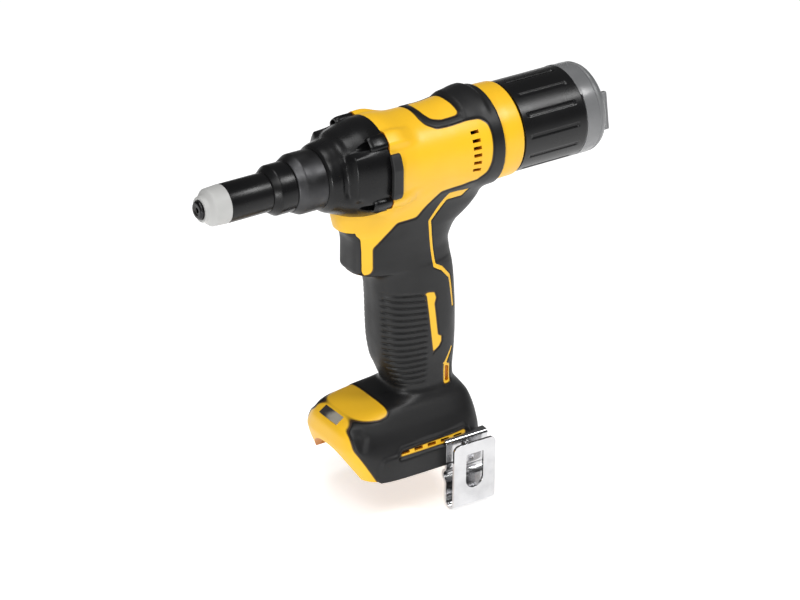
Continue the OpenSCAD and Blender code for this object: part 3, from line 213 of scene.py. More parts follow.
def prism(name, outline, low, high, axis):
    """Outline drawn in the two other axes, in order x, y, z, and carried from low to high along an axis."""
    p = np.asarray(outline, float)
    return lofted(name, np.stack([np.insert(p, axis, low, 1), np.insert(p, axis, high, 1)]))


def sector(name, outline, start, end, count):
    """Closed part of a ring: an outline of place and radius carried round the barrel between two angles."""
    p = np.asarray(outline, float)
    a = np.radians(np.linspace(start, end, count))[:, None]
    return lofted(name, np.stack([-p[:, 0] + 0 * a, p[:, 1] * np.sin(a), p[:, 1] * np.cos(a)], -1))


def box_mesh(low, high):
    """Plain box for cutting."""
    (x0, y0, z0), (x1, y1, z1) = low, high
    return prism("box", rectangle(y0, y1, z0, z1), x0, x1, 0)


def side_cutter(outline, side, near, far):
    """Cutter through one side of the tool: an outline of reach and height, carried between two distances
    from the middle plane."""
    return prism("cutter", outline, *sorted((side * near, side * far)), 1)


def moved(mesh, matrix):
    """The mesh after a turn or shift given in millimetres."""
    m = matrix.copy()
    m.translation *= MM
    mesh.transform(m)
    return mesh


def about_barrel(degrees):
    """Turn about the barrel axis from the top towards the left."""
    return Matrix.Rotation(-np.radians(degrees), 4, "X")


def carved(mesh, *cutters, operation="DIFFERENCE"):
    """The mesh after one boolean step with each cutter."""
    body = bpy.data.objects.new("work", mesh)
    bpy.context.scene.collection.objects.link(body)
    tools = []
    for cutter in cutters:
        tool = bpy.data.objects.new("tool", cutter)
        bpy.context.scene.collection.objects.link(tool)
        mod = body.modifiers.new("cut", "BOOLEAN")
        mod.operation, mod.object, mod.solver = operation, tool, "MANIFOLD"
        tools.append(tool)
    graph = bpy.context.evaluated_depsgraph_get()
    out = bpy.data.meshes.new_from_object(body.evaluated_get(graph), depsgraph=graph)
    for o in [body] + tools:
        bpy.data.objects.remove(o)
    return out


# Angles past which edges are rounded, on made pieces and on CAD nodes
PIECE_EDGE, NODE_EDGE = 38, 40


def bevelled(o, width, angle, harden):
    """Rounds the object's edges that are sharper than an angle, in two steps."""
    mod = o.modifiers.new("edges", "BEVEL")
    mod.width, mod.segments, mod.harden_normals = width * MM, 2, harden
    mod.limit_method, mod.angle_limit = "ANGLE", np.radians(angle)


def piece(name, mesh, body, slot, finish, *replaced, sharp=32, bevel=0.0):
    """Shown object that rides on a body and stands for CAD nodes."""
    mesh.materials.clear()
    mesh.materials.append(finish)
    mesh.shade_smooth()
    if sharp:
        mesh.set_sharp_from_angle(angle=np.radians(sharp))
    o = bpy.data.objects.new(name, mesh)
    bpy.context.scene.collection.objects.link(o)
    if bevel:
        bevelled(o, bevel, PIECE_EDGE, True)
    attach(o, body)
    if replaced:
        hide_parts(*replaced)
    return o


# Materials


def node_in(tree, kind, out, settings, inputs):
    """One output of a new node: the node's settings come first, then the values or links of its sockets."""
    n = tree.nodes.new(kind)
    for key, value in settings.items():
        setattr(n, key, value)
    for key, value in inputs.items():
        if isinstance(value, Wire):
            tree.links.new(value.out, n.inputs[key])
        else:
            n.inputs[key].default_value = value
    return Wire(tree, n.outputs[out])


class Wire:
    """An output of a node tree. Sums and products of wires and numbers become Math nodes."""

    def __init__(self, tree, out):
        self.tree, self.out = tree, out

    def math(self, kind, *others):
        return node_in(self.tree, "ShaderNodeMath", 0, {"operation": kind}, dict(enumerate((self,) + others)))

    def __add__(self, other):
        return self.math("ADD", other)

    def __sub__(self, other):
        return self.math("SUBTRACT", other)

    def __rsub__(self, other):
        return self.math("MULTIPLY", -1).math("ADD", other)

    def __mul__(self, other):
        return self.math("MULTIPLY", other)

    __radd__, __rmul__ = __add__, __mul__

    def size(self):
        return self.math("ABSOLUTE")

    def between(self, low, high, start=0.0, end=1.0):
        """Rises from start to end, along a smooth S, while the wire goes from low to high."""
        return node_in(self.tree, "ShaderNodeMapRange", "Result", {"interpolation_type": "SMOOTHSTEP"},
                       {"Value": self, "From Min": low, "From Max": high, "To Min": start, "To Max": end})


def opaque(colour):
    """Colour with full alpha. A wire stays as it is."""
    return colour if isinstance(colour, Wire) else tuple(colour)[:3] + (1.0,)


class Finish:
    """A material on one Principled shader, with patterns in the object's own coordinates."""

    # Where patches of colour and of gloss begin and end in the noise, and how much smaller those of gloss are
    PATCH, GLOSS, GLOSS_SHARE, DETAIL = (0.35, 0.75), (0.3, 0.7), 0.6, 4.0
    # Sockets of a Mix node that mixes colours
    SHARE, FIRST, SECOND, MIXED = 0, 6, 7, 2

    def __init__(self, name, colour, rough, **sockets):
        self.mat = bpy.data.materials.new(name)
        self.mat.use_nodes = True
        self.tree = self.mat.node_tree
        self.shader = self.tree.nodes["Principled BSDF"]
        self.base, self.rough = opaque(colour), rough
        self.set("Base Color", self.base)
        self.set("Roughness", rough)
        for key, value in sockets.items():
            self.set(key.replace("_", " "), value)
        self.place = self.node("ShaderNodeTexCoord", "Object")

    def set(self, key, value):
        if isinstance(value, Wire):
            self.tree.links.new(value.out, self.shader.inputs[key])
        else:
            self.shader.inputs[key].default_value = value

    def node(self, kind, out, settings=None, **inputs):
        return node_in(self.tree, kind, out, settings or {}, inputs)

    def noise(self, size, detail, lines=1):
        """Noise with grains of a size, which lie closer by a factor along the barrel."""
        place = self.place
        if lines != 1:
            place = self.node("ShaderNodeMapping", "Vector", Vector=place, Scale=(lines, 1, 1))
        return self.node("ShaderNodeTexNoise", "Fac", Vector=place, Scale=1 / (size * MM), Detail=detail)

    def mix(self, share, first, second):
        return node_in(self.tree, "ShaderNodeMix", self.MIXED, {"data_type": "RGBA"},
                       {self.SHARE: share, self.FIRST: opaque(first), self.SECOND: opaque(second)})

    def relief(self, height, depth):
        self.set("Normal", self.node("ShaderNodeBump", "Normal", Height=height, Distance=depth * MM))
        return self

    def vary(self, other, size, spread):
        """Colour drifts towards another, and gloss by spread, over patches of a size."""
        self.base = self.mix(self.noise(size, self.DETAIL).between(*self.PATCH), self.base, other)
        gloss = self.noise(size * self.GLOSS_SHARE, self.DETAIL)
        self.set("Base Color", self.base)
        self.set("Roughness", gloss.between(*self.GLOSS, self.rough - spread, self.rough + spread))
        return self


# Sizes of the patches over which finishes drift
MOULDED_PATCH, METAL_PATCH = 38, 14


def moulded(name, colour, other, rough, grain, depth, spread=0.05, **sockets):
    """Moulded plastic or rubber with a fine spark-eroded grain, in two sizes."""
    f = Finish(name, colour, rough, **sockets)
    f.vary(other, MOULDED_PATCH, spread)
    return f.relief(f.noise(grain, 2.0) + f.noise(grain * 4, 2.0) * 0.5, depth)


def metal(name, colour, other, rough, spread=0.06, grain=0.5, depth=0.006, lines=12.5):
    """Metal with fine turning lines round the barrel and faint stains."""
    f = Finish(name, colour, rough, Metallic=1.0)
    f.vary(other, METAL_PATCH, spread)
    return f.relief(f.noise(grain, 3.0, lines), depth)


def edged(f, dark, reach, inner):
    """Darkens a moulded finish with painted shade beside the rubber's edge, where shade gathers, and paints
    the shade of recesses in the inner colour on cut faces and in grooves. The first mark is the distance to
    the rubber's edge in millimetres, the second is 1 on plain skin."""
    darkest, cut, plain = 0.3, 0.2, 0.8
    marks = f.node("ShaderNodeUVMap", "UV", {"uv_map": "marks"})
    edge, skin = (f.node("ShaderNodeSeparateXYZ", axis, Vector=marks) for axis in "XY")
    lined = f.mix(edge.size().between(reach * darkest, reach), dark, f.base)
    # Low second mark, on cut faces and in grooves, takes the inner colour as painted shade
    f.set("Base Color", f.mix(skin.between(cut, plain), inner, lined))
    return f


def shaded(colour, share=0.93):
    """A little darker colour."""
    return tuple(c * share for c in colour)


# Moulded colours, each with its painted shade along the rubber's edge and its painted shade on cut faces, in
# recesses and in grooves
YELLOW, YELLOW_SHADE, YELLOW_RECESS_SHADE = (0.87, 0.495, 0.018), (0.03, 0.012, 0.002), (0.5, 0.17, 0.005)
RUBBER_BLACK, RUBBER_SHADE, RUBBER_GROOVE_SHADE = (0.0065, 0.0065, 0.007), (0.001,) * 3, (0.002,) * 3
GLOSS_BLACK = (0.004, 0.004, 0.0044)
yellow = edged(moulded("yellow_nylon", YELLOW, shaded(YELLOW), 0.38, 0.22, 0.012, Specular_IOR_Level=0.4),
               YELLOW_SHADE, 1.15, YELLOW_RECESS_SHADE).mat
yellow_plain = moulded("yellow_ring_nylon", YELLOW, (0.83, 0.46, 0.015), 0.36, 0.22, 0.012,
                       Specular_IOR_Level=0.4).mat
rubber = edged(moulded("black_rubber", RUBBER_BLACK, shaded(RUBBER_BLACK), 0.46, 0.16, 0.016, 0.06,
                       Specular_IOR_Level=0.37), RUBBER_SHADE, 1.5, RUBBER_GROOVE_SHADE).mat
rubber_plain = moulded("black_rubber_parts", (0.014, 0.014, 0.0145), (0.02, 0.02, 0.0205), 0.52, 0.16, 0.02,
                       0.07, Specular_IOR_Level=0.35).mat
front_black = moulded("satin_black", GLOSS_BLACK, (0.007, 0.007, 0.0074), 0.27, 0.2, 0.004, 0.04,
                      Specular_IOR_Level=0.25).mat
cup_black = moulded("gloss_black", GLOSS_BLACK, (0.006, 0.006, 0.0064), 0.29, 0.3, 0.003, 0.03,
                    Specular_IOR_Level=0.38).mat
black_steel = metal("black_steel", (0.035, 0.035, 0.037), (0.06, 0.058, 0.056), 0.3).mat
ring_grey = metal("ring_grey", (0.05, 0.05, 0.052), (0.07, 0.07, 0.072), 0.42, grain=0.35, depth=0.02,
                  lines=1).mat
cover_grey = moulded("frosted_cover", (0.42, 0.42, 0.41), (0.47, 0.47, 0.46), 0.5, 0.25, 0.01,
                     Subsurface_Weight=0.15, Subsurface_Radius=(0.002, 0.002, 0.002)).mat
steel = metal("steel", (0.42, 0.42, 0.43), (0.36, 0.355, 0.35), 0.3).mat
chrome = metal("chrome", (0.60, 0.60, 0.61), (0.5, 0.5, 0.51), 0.16, 0.04, 0.8, 0.002).mat
brass = metal("brass", (0.55, 0.36, 0.12), (0.45, 0.28, 0.09), 0.3).mat
copper = metal("copper_wire", (0.6, 0.25, 0.12), (0.5, 0.2, 0.09), 0.35, grain=0.7, depth=0.05).mat
iron = metal("iron_stack", (0.25, 0.25, 0.26), (0.2, 0.2, 0.21), 0.4, depth=0.03).mat
board = moulded("board_green", (0.01, 0.12, 0.05), (0.012, 0.09, 0.04), 0.4, 0.5, 0.01).mat
inner_black = moulded("inner_black", (0.012, 0.012, 0.013), (0.02, 0.02, 0.021), 0.45, 0.2, 0.01).mat
seal = moulded("seal_rubber", (0.01, 0.01, 0.01), (0.014, 0.014, 0.014), 0.6, 0.2, 0.01).mat
clear = moulded("smoked_clear", (0.34, 0.344, 0.35), (0.25, 0.254, 0.26), 0.24, 1.5, 0.003, 0.03,
                Transmission_Weight=0.5, IOR=1.5).mat


def light_lens():
    """Frosted window over the lamps: pale, with painted shade over its far end and soft clouds between."""
    per_metre, dark, pale = 95, (0.03, 0.027, 0.027), (0.33, 0.31, 0.27)
    f = Finish("light_lens", pale, 0.28, Coat_Weight=0.4, Coat_Roughness=0.12)
    across = f.node("ShaderNodeSeparateXYZ", "Y", Vector=f.place)
    # Painted shade: the side towards negative y turns dark, with a cloudy edge
    share = (across * per_metre + f.noise(5, 2.0) - 0.5).between(-0.45, 0.4)
    f.set("Base Color", f.mix(share, dark, pale))
    return f.relief(f.noise(0.4, 2.0), 0.02).mat


# Finishes of the CAD nodes that are shown as they are
CARRIED = (
    (steel, "jaw_pusher jaw_spring pull_screw ball_nut thrust_bearing nut_bearing planet_carrier planet_1 "
            "planet_2 planet_3 sun_gear rotor_shaft motor_bearing_front motor_bearing_rear mandrel_tube "
            "hook_screw"),
    (black_steel, "jaw_case jaw_1 jaw_2 jaw_3 front_screws housing_screws ring_gear"),
    (iron, "rotor_core stator"), (copper, "stator_coils"), (board, "motor_board led_board"),
    (inner_black, "motor_plate fan trigger_switch control_module terminal_block"),
    (brass, "terminal_blades hook_inserts"), (seal, "container_seal"), (light_lens(), "led_lens"))
for finish, names in CARRIED:
    for name in names.split():
        nodes[name].data.materials.clear()
        nodes[name].data.materials.append(finish)
for name in ("front_screws", "hook_screw", "led_lens", "housing_screws"):
    bevelled(nodes[name], 0.3, NODE_EDGE, False)

# Moulded form

# Height, front, rear, half width and squareness of the handle and foot
FORM = np.array([
    (-206.5, -102.5, -195, 38.2, 5), (-191, -95.5, -195.8, 36.7, 4.6), (-184.5, -93.5, -195.6, 34.6, 4.4),
    (-178, -93.6, -195, 31.2, 4.2), (-172, -96.2, -193.5, 27, 4), (-168.7, -101.2, -191.5, 24.5, 3.8),
    (-166.3, -111.5, -189.8, 22.6, 3.6), (-164, -128.5, -188, 21, 3.3), (-161, -139, -186, 19.2, 3.1),
    (-158, -140.2, -185, 18.3, 3), (-153, -138.2, -184.8, 18.2, 3), (-147, -135.6, -185.2, 18.4, 3),
    (-141, -132.8, -185.8, 18.7, 3), (-134, -131, -186.2, 18.9, 3), (-124, -129.4, -186.5, 19, 3),
    (-112, -128.6, -186.4, 19, 3), (-100, -128, -185.9, 18.8, 3), (-84, -126.2, -185, 18.1, 2.9),
    (-77, -124, -184.2, 17.8, 2.8), (-73.6, -120, -183.7, 17.6, 2.7), (-71, -111, -183.3, 17.4, 2.7),
    (-67.6, -108.2, -182.8, 17.2, 2.7), (-62, -107.3, -182.3, 17, 2.6), (-54, -106.8, -185, 17, 2.6),
    (-49, -106.3, -188.8, 17.2, 2.6), (-45, -105.5, -195, 17.4, 2.6), (-41, -102, -200.5, 17.7, 2.6),
    (-36, -100.4, -204.5, 18.2, 2.6), (-30, -99.4, -205, 19.2, 2.6), (-24, -99.3, -205, 20.5, 2.6),
    (-18, -99.3, -205, 21.5, 2.6), (-12, -99.3, -205, 21, 2.6)])
# Radius of the barrel, as shares of its length and radius
BARREL = np.array([
    (0, .997), (.06, 1.001), (.12, .985), (.19, .952), (.27, .93), (.566, .921), (.713, .952), (.812, .984),
    (.91, 1.02), (1, 1.02)]) * (BARREL_S - FRONT_S, BARREL_R) + (FRONT_S, 0)
# Radius of the front housing's turned outline, as shares of its length and the barrel's radius, and radius of
# its underside
SHOULDER = np.array([
    (0, .61), (.04, .667), (.2, .722), (.3, .748), (.42, .84), (.56, .903), (.7, .957), (.85, .99),
    (1, 1)]) * (FRONT_S - WAIST_S, BARREL_R) + (WAIST_S, 0)
UNDERSIDE = np.array([
    (WAIST_S, RING_R), (87.2, 22.2), (92.4, 24.4), (97.6, 26.6), (107.5, 29.9), (114.8, 31.2),
    (FRONT_S, BARREL_R)])
# Ends of the form's barrel, inside the pieces that it meets
TUBE_ENDS = 121, 206.5
# Fillet between barrel and handle: its size at the front, how much it grows, and between which places
FILLET, FILLET_GROWTH, FILLET_GROWS = 0.8, 8, (118, 132)
# Heights between which the form's rows lie closer together, for the grip ribs
RIB_LOW, RIB_HIGH = (-157, -154), (-92, -89)


def handle(z):
    """Middle, half depth, half width and squareness of the handle and foot at a height."""
    front, rear, half, square = (eased(z, FORM, i) for i in (1, 2, 3, 4))
    return (front + rear) / 2, (front - rear) / 2, half, square


def inside(x, y, z, parts):
    """Depth inside the moulded form: the larger of barrel and handle, with a soft fillet where they meet. The
    fillet is small at the front and grows towards the rear."""
    middle, reach, half, square = parts
    s = -x
    tube = np.minimum(eased(s, BARREL) - np.hypot(y, z), np.minimum(s - TUBE_ENDS[0], TUBE_ENDS[1] - s))
    far = np.hypot(x - middle, y) + TINY
    level = ((np.abs(x - middle) / reach) ** square + (np.abs(y) / half) ** square) ** (1 / square) + TINY
    grip = far / level - far
    fillet = FILLET + FILLET_GROWTH * step(*FILLET_GROWS, s)
    h = np.clip(0.5 + 0.5 * (tube - grip) / fillet, 0, 1)
    return grip * (1 - h) + tube * h + fillet * h * (1 - h)


def form_grid(spacing=0.95, cols=196, arcs=46, rays=640, halvings=24, ray_most=135.0, levels=4001):
    """Left half of the form as one grid. Rows climb from the foot's floor to the barrel's axis, closer
    together at the grip ribs, and each is the outline of a level cut, found by halving along rays from the
    handle's middle. Then each column goes on over the barrel as a quarter arc to the top line."""
    apart, closer = 0.8, 1.5
    z = np.linspace(FORM[0, 0], 0, levels)
    middle, reach, half, _ = handle(z)
    runs = np.abs(np.diff(np.stack([middle + reach, middle - reach, half]), axis=1)).max(0)
    close = apart + closer * band(RIB_LOW, RIB_HIGH, z)[1:]
    along = np.concatenate([[0], np.cumsum(np.hypot(np.diff(z), runs) * close)])
    rows = np.interp(np.linspace(0, along[-1], int(along[-1] / spacing)), along, z)
    parts = [v[:, None] for v in handle(rows)]
    ray = np.linspace(0, np.pi, rays)[None, :]
    low, high = np.zeros((len(rows), rays)), np.full((len(rows), rays), ray_most)
    for _ in range(halvings):
        mid = (low + high) / 2
        within = inside(parts[0] + mid * np.cos(ray), mid * np.sin(ray), rows[:, None], parts) > 0
        low, high = np.where(within, mid, low), np.where(within, high, mid)
    x, y = parts[0] + low * np.cos(ray), low * np.abs(np.sin(ray))
    y[:, 0] = y[:, -1] = 0
    runs = np.cumsum(np.hypot(np.diff(x), np.diff(y)), 1)
    length = np.concatenate([np.zeros((len(rows), 1)), runs], 1)
    share = np.linspace(0, 1, cols)
    gx, gy = (np.stack([np.interp(share * n[-1], n, a) for n, a in zip(length, v)]) for v in (x, y))
    under = np.stack([gx, gy, np.repeat(rows[:, None], cols, 1)], -1)
    a = np.linspace(np.pi / 2, 0, arcs + 1)[1:, None]
    over = np.stack([np.repeat(gx[-1:], arcs, 0), gy[-1:] * np.sin(a), gy[-1:] * np.cos(a)], -1)
    return np.concatenate([under, over])


def outward(p):
    """Unit normals of a grid, away from the inside of the left half."""
    n = np.cross(np.gradient(p, axis=1), np.gradient(p, axis=0))
    return n / (np.linalg.norm(n, axis=-1, keepdims=True) + TINIEST)


def on_middle(p):
    """The grid with its front, rear and top lines on the middle plane."""
    p[:, 0, 1] = p[:, -1, 1] = p[-1, :, 1] = 0
    return p


def from_top(p):
    """Angle round the barrel from the top, in degrees."""
    return np.degrees(np.arctan2(np.abs(p[..., 1]), p[..., 2]))


# Colour lines of the left side, as reach and height
RUBBER = [
    (-209, -14), (-196, -16.5), (-190.5, -17.5), (-180, -20), (-164.6, -20.4), (-149.6, -36.7),
    (-135.5, -37.2), (-120, -52), (-120.2, -66.5), (-118.4, -70), (-113.5, -71.8), (-113.9, -148.7),
    (-127.8, -163.2), (-127.6, -166.6), (-125, -168.7), (-119.5, -169.7), (-111, -169.4), (-103.5, -168.7),
    (-98, -173.6), (-98.4, -183.8), (-112.6, -208.6), (-203, -208.6), (-203, -33), (-209, -31)]
LINE = [
    (-169.5, -27.1), (-172.2, -24), (-187.9, -25.7), (-184.1, -29.7), (-171.6, -29), (-160.7, -41.6),
    (-165.2, -73.5), (-170.6, -76.8), (-177.6, -85.3), (-180.6, -107.6), (-179.3, -107.6), (-176.3, -86.5),
    (-169.8, -79.1), (-163.6, -75.2), (-159, -41.4)]
STRIP = [
    (-155.3, -91.5), (-158.8, -90.8), (-164.2, -91.9), (-165.7, -96.5), (-164.4, -100.7), (-167.3, -123),
    (-170.1, -124.7), (-170.1, -128.9), (-168.1, -132.2), (-164.1, -134.8), (-162.9, -136.9), (-157.3, -94.1)]
SLOT_FRAME = [(-171.6, -145), (-178.6, -147.8), (-178.2, -161.5), (-171.6, -161.3)]
SLOT = [(-173.5, -147.9), (-176.8, -149.5), (-176.5, -159.4), (-173.5, -159.2)]
SLOT_LINE = [(-172.6, -146), (-178.8, -136.2), (-179.9, -136.8), (-174.4, -146.5)]
FOOT_STRIP = [(-125.2, -192.9), (-129, -188.7), (-177.6, -186.9), (-179.2, -189.6), (-176.5, -192.3)]
FOOT_PANEL = [(-114, -191), (-122, -190.2), (-178, -190.2), (-184, -192), (-184, -212), (-108, -212)]
FACET = [(-97, -171), (-106, -170.5), (-110.5, -176), (-105, -187), (-99.5, -187)]
# Rounding of the outlines' corners
RUBBER_ROUND, TOP_ROUND, WINDOW_ROUND = 1.3, 1.6, 1.8
# Yellow fields in the rubber, each with the rounding of its corners and how much wider it is than drawn
LINE_ROUND, SLOT_LINE_ROUND, FOOT_STRIP_ROUND = 0.3, 0.2, 0.8
FIELDS = ((LINE, LINE_ROUND, 0.12), (STRIP, 0.7, 0), (SLOT_FRAME, 0.9, 0),
          (SLOT_LINE, SLOT_LINE_ROUND, 0.12), (FOOT_STRIP, FOOT_STRIP_ROUND, 0))
# Top of the barrel, as place behind the tip and degrees from the top, taken to lengths round the barrel
ROUND = 30.5 * np.pi / 180
TOP = np.array([
    (155.5, -9), (155.3, 22), (157, 32), (163, 41), (172, 42), (185, 41.3), (193, 43.5), (197.5, 52.5),
    (198.3, 64), (198, 80), (197, 98), (195, 112), (191, 121), (188, 133), (216, 133),
    (216, -9)]) * (1, ROUND)
WINDOW = np.array([
    (158.5, -9), (159.5, 16), (162, 27), (168, 32), (180.5, 32.5), (182.7, 29), (182.5, 14),
    (181.8, -9)]) * (1, ROUND)


def rubber_level(p):
    """Distance to the rubber's edge, above zero in the rubber, which is inside its outlines and outside the
    yellow fields."""
    x, z, around = p[..., 0], p[..., 2], from_top(p) * ROUND
    level = np.maximum(soft_level(x, z, RUBBER, RUBBER_ROUND), soft_level(-x, around, TOP, TOP_ROUND))
    for outline, r, grow in FIELDS:
        level = np.minimum(level, -soft_level(x, z, outline, r) - grow)
    return np.minimum(level, -soft_level(-x, around, WINDOW, WINDOW_ROUND))


def thin_line(p):
    """Distance inside the thin yellow lines."""
    x, z = p[..., 0], p[..., 2]
    return np.maximum(soft_level(x, z, LINE, LINE_ROUND), soft_level(x, z, SLOT_LINE, SLOT_LINE_ROUND))


def form_bumps(p):
    """Moulded swellings: fairings behind the front screws and a low disc behind each lower one."""
    fairing, fairing_side, fairing_end = 2.8, (3.2, 8), (131, 150)
    disc, disc_s, disc_angle, disc_edge, disc_y = 0.5, 139.5, 123.5, (3.4, 4.4), 5
    skin_r, above_handle = (26.5, 28.5), (-23, -18)
    s, angle = -p[..., 0], from_top(p)
    on_barrel = step(*skin_r, np.hypot(p[..., 1], p[..., 2])) * step(*above_handle, p[..., 2])
    bump = 0
    for at in BOSSES[::2]:
        across = np.abs(angle - at) * ROUND
        bump = bump + fairing * (1 - step(*fairing_side, across)) * (1 - step(*fairing_end, s)) * on_barrel
    far = np.hypot(s - disc_s, (angle - disc_angle) * ROUND)
    return bump + disc * (1 - step(*disc_edge, far)) * (p[..., 1] > disc_y)


def grooves(p, level):
    """Share of a grip groove: narrow waves on the flank of the handle, square to its lean at the top."""
    pitch, top, wall = 4.3, -90, (0.15, 0.95)
    lean, lean_from, lean_to, lean_x = 0.17, -152, -94, -143
    low_end, top_end, rear_end = (-156, -153), (top, -86.5), (-160, -156)
    rubber_end, flank_end = (0.4, 1.4), (8, 11)
    x, y, z = p[..., 0], np.abs(p[..., 1]), p[..., 2]
    across = z - lean * np.clip((z - lean_from) / (lean_to - lean_from), 0, 1) * (x - lean_x)
    held = step(*low_end, z) * (1 - step(*top_end, across)) * step(*rear_end, x) * step(*rubber_end, level)
    return held * step(*flank_end, y) * step(*wall, np.cos((across - top) / pitch * TURN))


def rubber_lift(p, level):
    """Height of the rubber over the form: a rolled edge, grip grooves, the raised rear of the top frame, the
    foot's lower panel, a rim round its vent strip and a hollow behind its front corner."""
    edge, edge_w, dive, groove = 0.35, 0.7, 0.8, 0.7
    frame_lift, frame_rise, frame_fall, frame_sides = 2.0, (182.5, 185.5), (199.5, 203.5), (20, 50)
    panel_lift, panel_edge, panel_grow, panel_round = 1.7, (0, 1.1), 0.5, 2.0
    rim_lift, rim_edge = 1.0, (2.2, 3.0)
    facet, facet_edge, facet_round = 1.1, (0.5, 4.5), 1.0
    foot_z, foot_edge = -165, (0.2, 1.0)
    x, z = p[..., 0], p[..., 2]
    lift = np.where(level > 0, edge * (1 - (1 - np.clip(level / edge_w, 0, 1)) ** 2), dive * level)
    lift = lift - groove * grooves(p, level)
    on_top = (1 - step(*frame_sides, from_top(p))) * (z > 0)
    lift = lift + frame_lift * band(frame_rise, frame_fall, -x) * on_top
    panel = np.clip(soft_level(x, z, FOOT_PANEL, panel_round) + panel_grow, 0, None)
    rim = -soft_level(x, z, FOOT_STRIP, FOOT_STRIP_ROUND)
    swell = np.maximum(panel_lift * step(*panel_edge, panel), rim_lift * (1 - step(*rim_edge, rim)))
    hollow = facet * step(*facet_edge, soft_level(x, z, FACET, facet_round))
    return lift + (swell - hollow) * step(*foot_edge, level) * (z < foot_z)


grid = form_grid()
grid = on_middle(grid + outward(grid) * form_bumps(grid)[..., None])
normals = outward(grid)
level = rubber_level(grid)
rows_n, cols_n = level.shape
# Distance to the rubber's edge past which the marks stay the same
MARK_MOST = 6


def form_half(side):
    """Closed half of the form, sunk under the rubber and mirrored for the right."""
    beside_line, sink, sink_edge = -0.6, 1.3, (0.8, 2.2)
    index = np.arange(rows_n * cols_n).reshape(rows_n, cols_n)
    rim = list(index[:, 0]) + list(index[-1, 1:]) + list(index[-2::-1, -1])
    edge = np.where(thin_line(grid) > beside_line, -MARK_MOST, np.clip(level, -MARK_MOST, MARK_MOST))
    # Second mark is 1 on the skin; faces the cutters add carry no marks and so take the painted shade of
    # recesses
    marks = np.stack([edge, np.ones_like(level)], -1)
    sunk = on_middle(grid - normals * (sink * step(*sink_edge, level))[..., None])
    return mesh_of("form", sunk * (1, side, 1), grid_faces(rows_n, cols_n), [rim, list(index[0])], marks)


def rubber_half(side, holes):
    """Rubber over half of the form. Its edge dives under the form, and round holes are pulled true."""
    dive, pull_in, pull_out, hole_y, groove_shade = -0.9, 0.5, 0.7, 6, 0.7
    p = on_middle(grid + normals * rubber_lift(grid, level)[..., None])
    gone = np.zeros(level.shape, bool)
    for x, z, r in holes:
        far = np.hypot(p[..., 0] - x, p[..., 2] - z) + TINY
        near = (far < r + pull_out) & (grid[..., 1] > hole_y)
        for i, c in ((0, x), (2, z)):
            p[..., i] = np.where(near & (far > r - pull_in), c + (p[..., i] - c) * r / far, p[..., i])
        gone |= near & (far <= r - pull_in)
    faces = grid_faces(rows_n, cols_n)
    keep = (level.ravel()[faces].max(1) > dive) & ~gone.ravel()[faces].any(1)
    faces = faces[keep] if side > 0 else faces[keep][:, ::-1]
    used, compact = np.unique(faces, return_inverse=True)
    # Second mark drops in the grip grooves, where the finish takes painted shade
    skin = 1 - groove_shade * grooves(grid, level)
    marks = np.stack([np.clip(level, -MARK_MOST, MARK_MOST), skin], -1)
    points = (p * (1, side, 1)).reshape(-1, 3)
    return mesh_of("rubber", points[used], compact.reshape(-1, 4), (), marks.reshape(-1, 2)[used])


# Case screws on the right, as reach, height and distance of their seat from the middle
SCREWS = [(-121.0, -36.55, 11.4), (-186.2, -36.55, 9.9), (-137.0, -93.5, 12.9), (-178.7, -142.5, 12.2),
          (-108.0, -184.2, 25.1), (-181.9, -184.2, 22.0)]
SCREW_R, HOOK_HOLE_R = 3, 3.4
HOOK_S, HOOK_Z = 176.2, -196.28
# Battery bay: half widths above and between its rails, heights of its roof, rails and floor, and its ends
BAY_HALF, RAIL_HALF = 29.5, 26.5
BAY_TOP, RAIL_Z, BAY_LOW = -195, -203.5, -210
BAY_FRONT, BAY_REAR = -107, -188.3
# Barrel vents, by angle from the top, and foot vents, by reach
VENT_ANGLES, VENT_ENDS, VENT_HALF, VENT_FLOOR_R = (58, 68.5, 77.5, 86.5, 96, 106), (184.2, 189.7), 1.1, 24
FOOT_VENTS, FOOT_VENT_X, FOOT_VENT_PITCH, FOOT_VENT_HALF = 5, -131, 10.1, 3.2
FOOT_VENT_LOW, FOOT_VENT_HIGH, FOOT_VENT_Y = -190.9, -188.9, 32.8
SLOT_Y = 15.4
# Trigger room, and the height down to which the front housing takes the form's place
ROOM_BACK, ROOM_HALF, ROOM_LOW, ROOM_TOP = -132.4, 11.4, -71, -39.4
FRONT_ROOM_LOW = -19
# Where cutters end, clear of the form
PAST, PAST_REAR = 60, 240


def rooms():
    """Barrel bore with the front housing's seat, trigger room and battery bay."""
    seat_clear = 0.15
    seat = np.linspace(WAIST_S, FRONT_S, 60)
    bore = lathe("bore", np.concatenate([
        [(PAST, AXIS_R), (PAST, RING_R + SEAT_GAP)], np.stack([seat, eased(seat, UNDERSIDE) + seat_clear], 1),
        [(FRONT_S, CAVITY_R), (BARREL_S, CAVITY_R), (BARREL_S, PAST), (PAST_REAR, PAST),
         (PAST_REAR, AXIS_R)]]), 144)
    room = box_mesh((ROOM_BACK, -ROOM_HALF, ROOM_LOW), (-PAST, ROOM_HALF, ROOM_TOP))
    half = [(BAY_HALF, BAY_TOP), (BAY_HALF, RAIL_Z), (RAIL_HALF, RAIL_Z), (RAIL_HALF, BAY_LOW)]
    bay = prism("bay", half + [(-y, z) for y, z in half[::-1]], BAY_REAR, BAY_FRONT, 0)
    return joined("rooms", bore, room, bay)


def front_arch():
    """Opening under the foot's front: a flat-topped arch over the battery bay's width."""
    foot_z, rise, below, square = -206.6, 17, -215, 2.6
    y = np.linspace(-RAIL_HALF, RAIL_HALF, 61)
    crown = np.stack([y, foot_z + rise * (1 - np.abs(y / RAIL_HALF) ** square)], 1)
    outline = np.concatenate([crown, [(RAIL_HALF, below), (-RAIL_HALF, below)]])
    return prism("arch", outline, BAY_FRONT - 0.5, -PAST, 0)


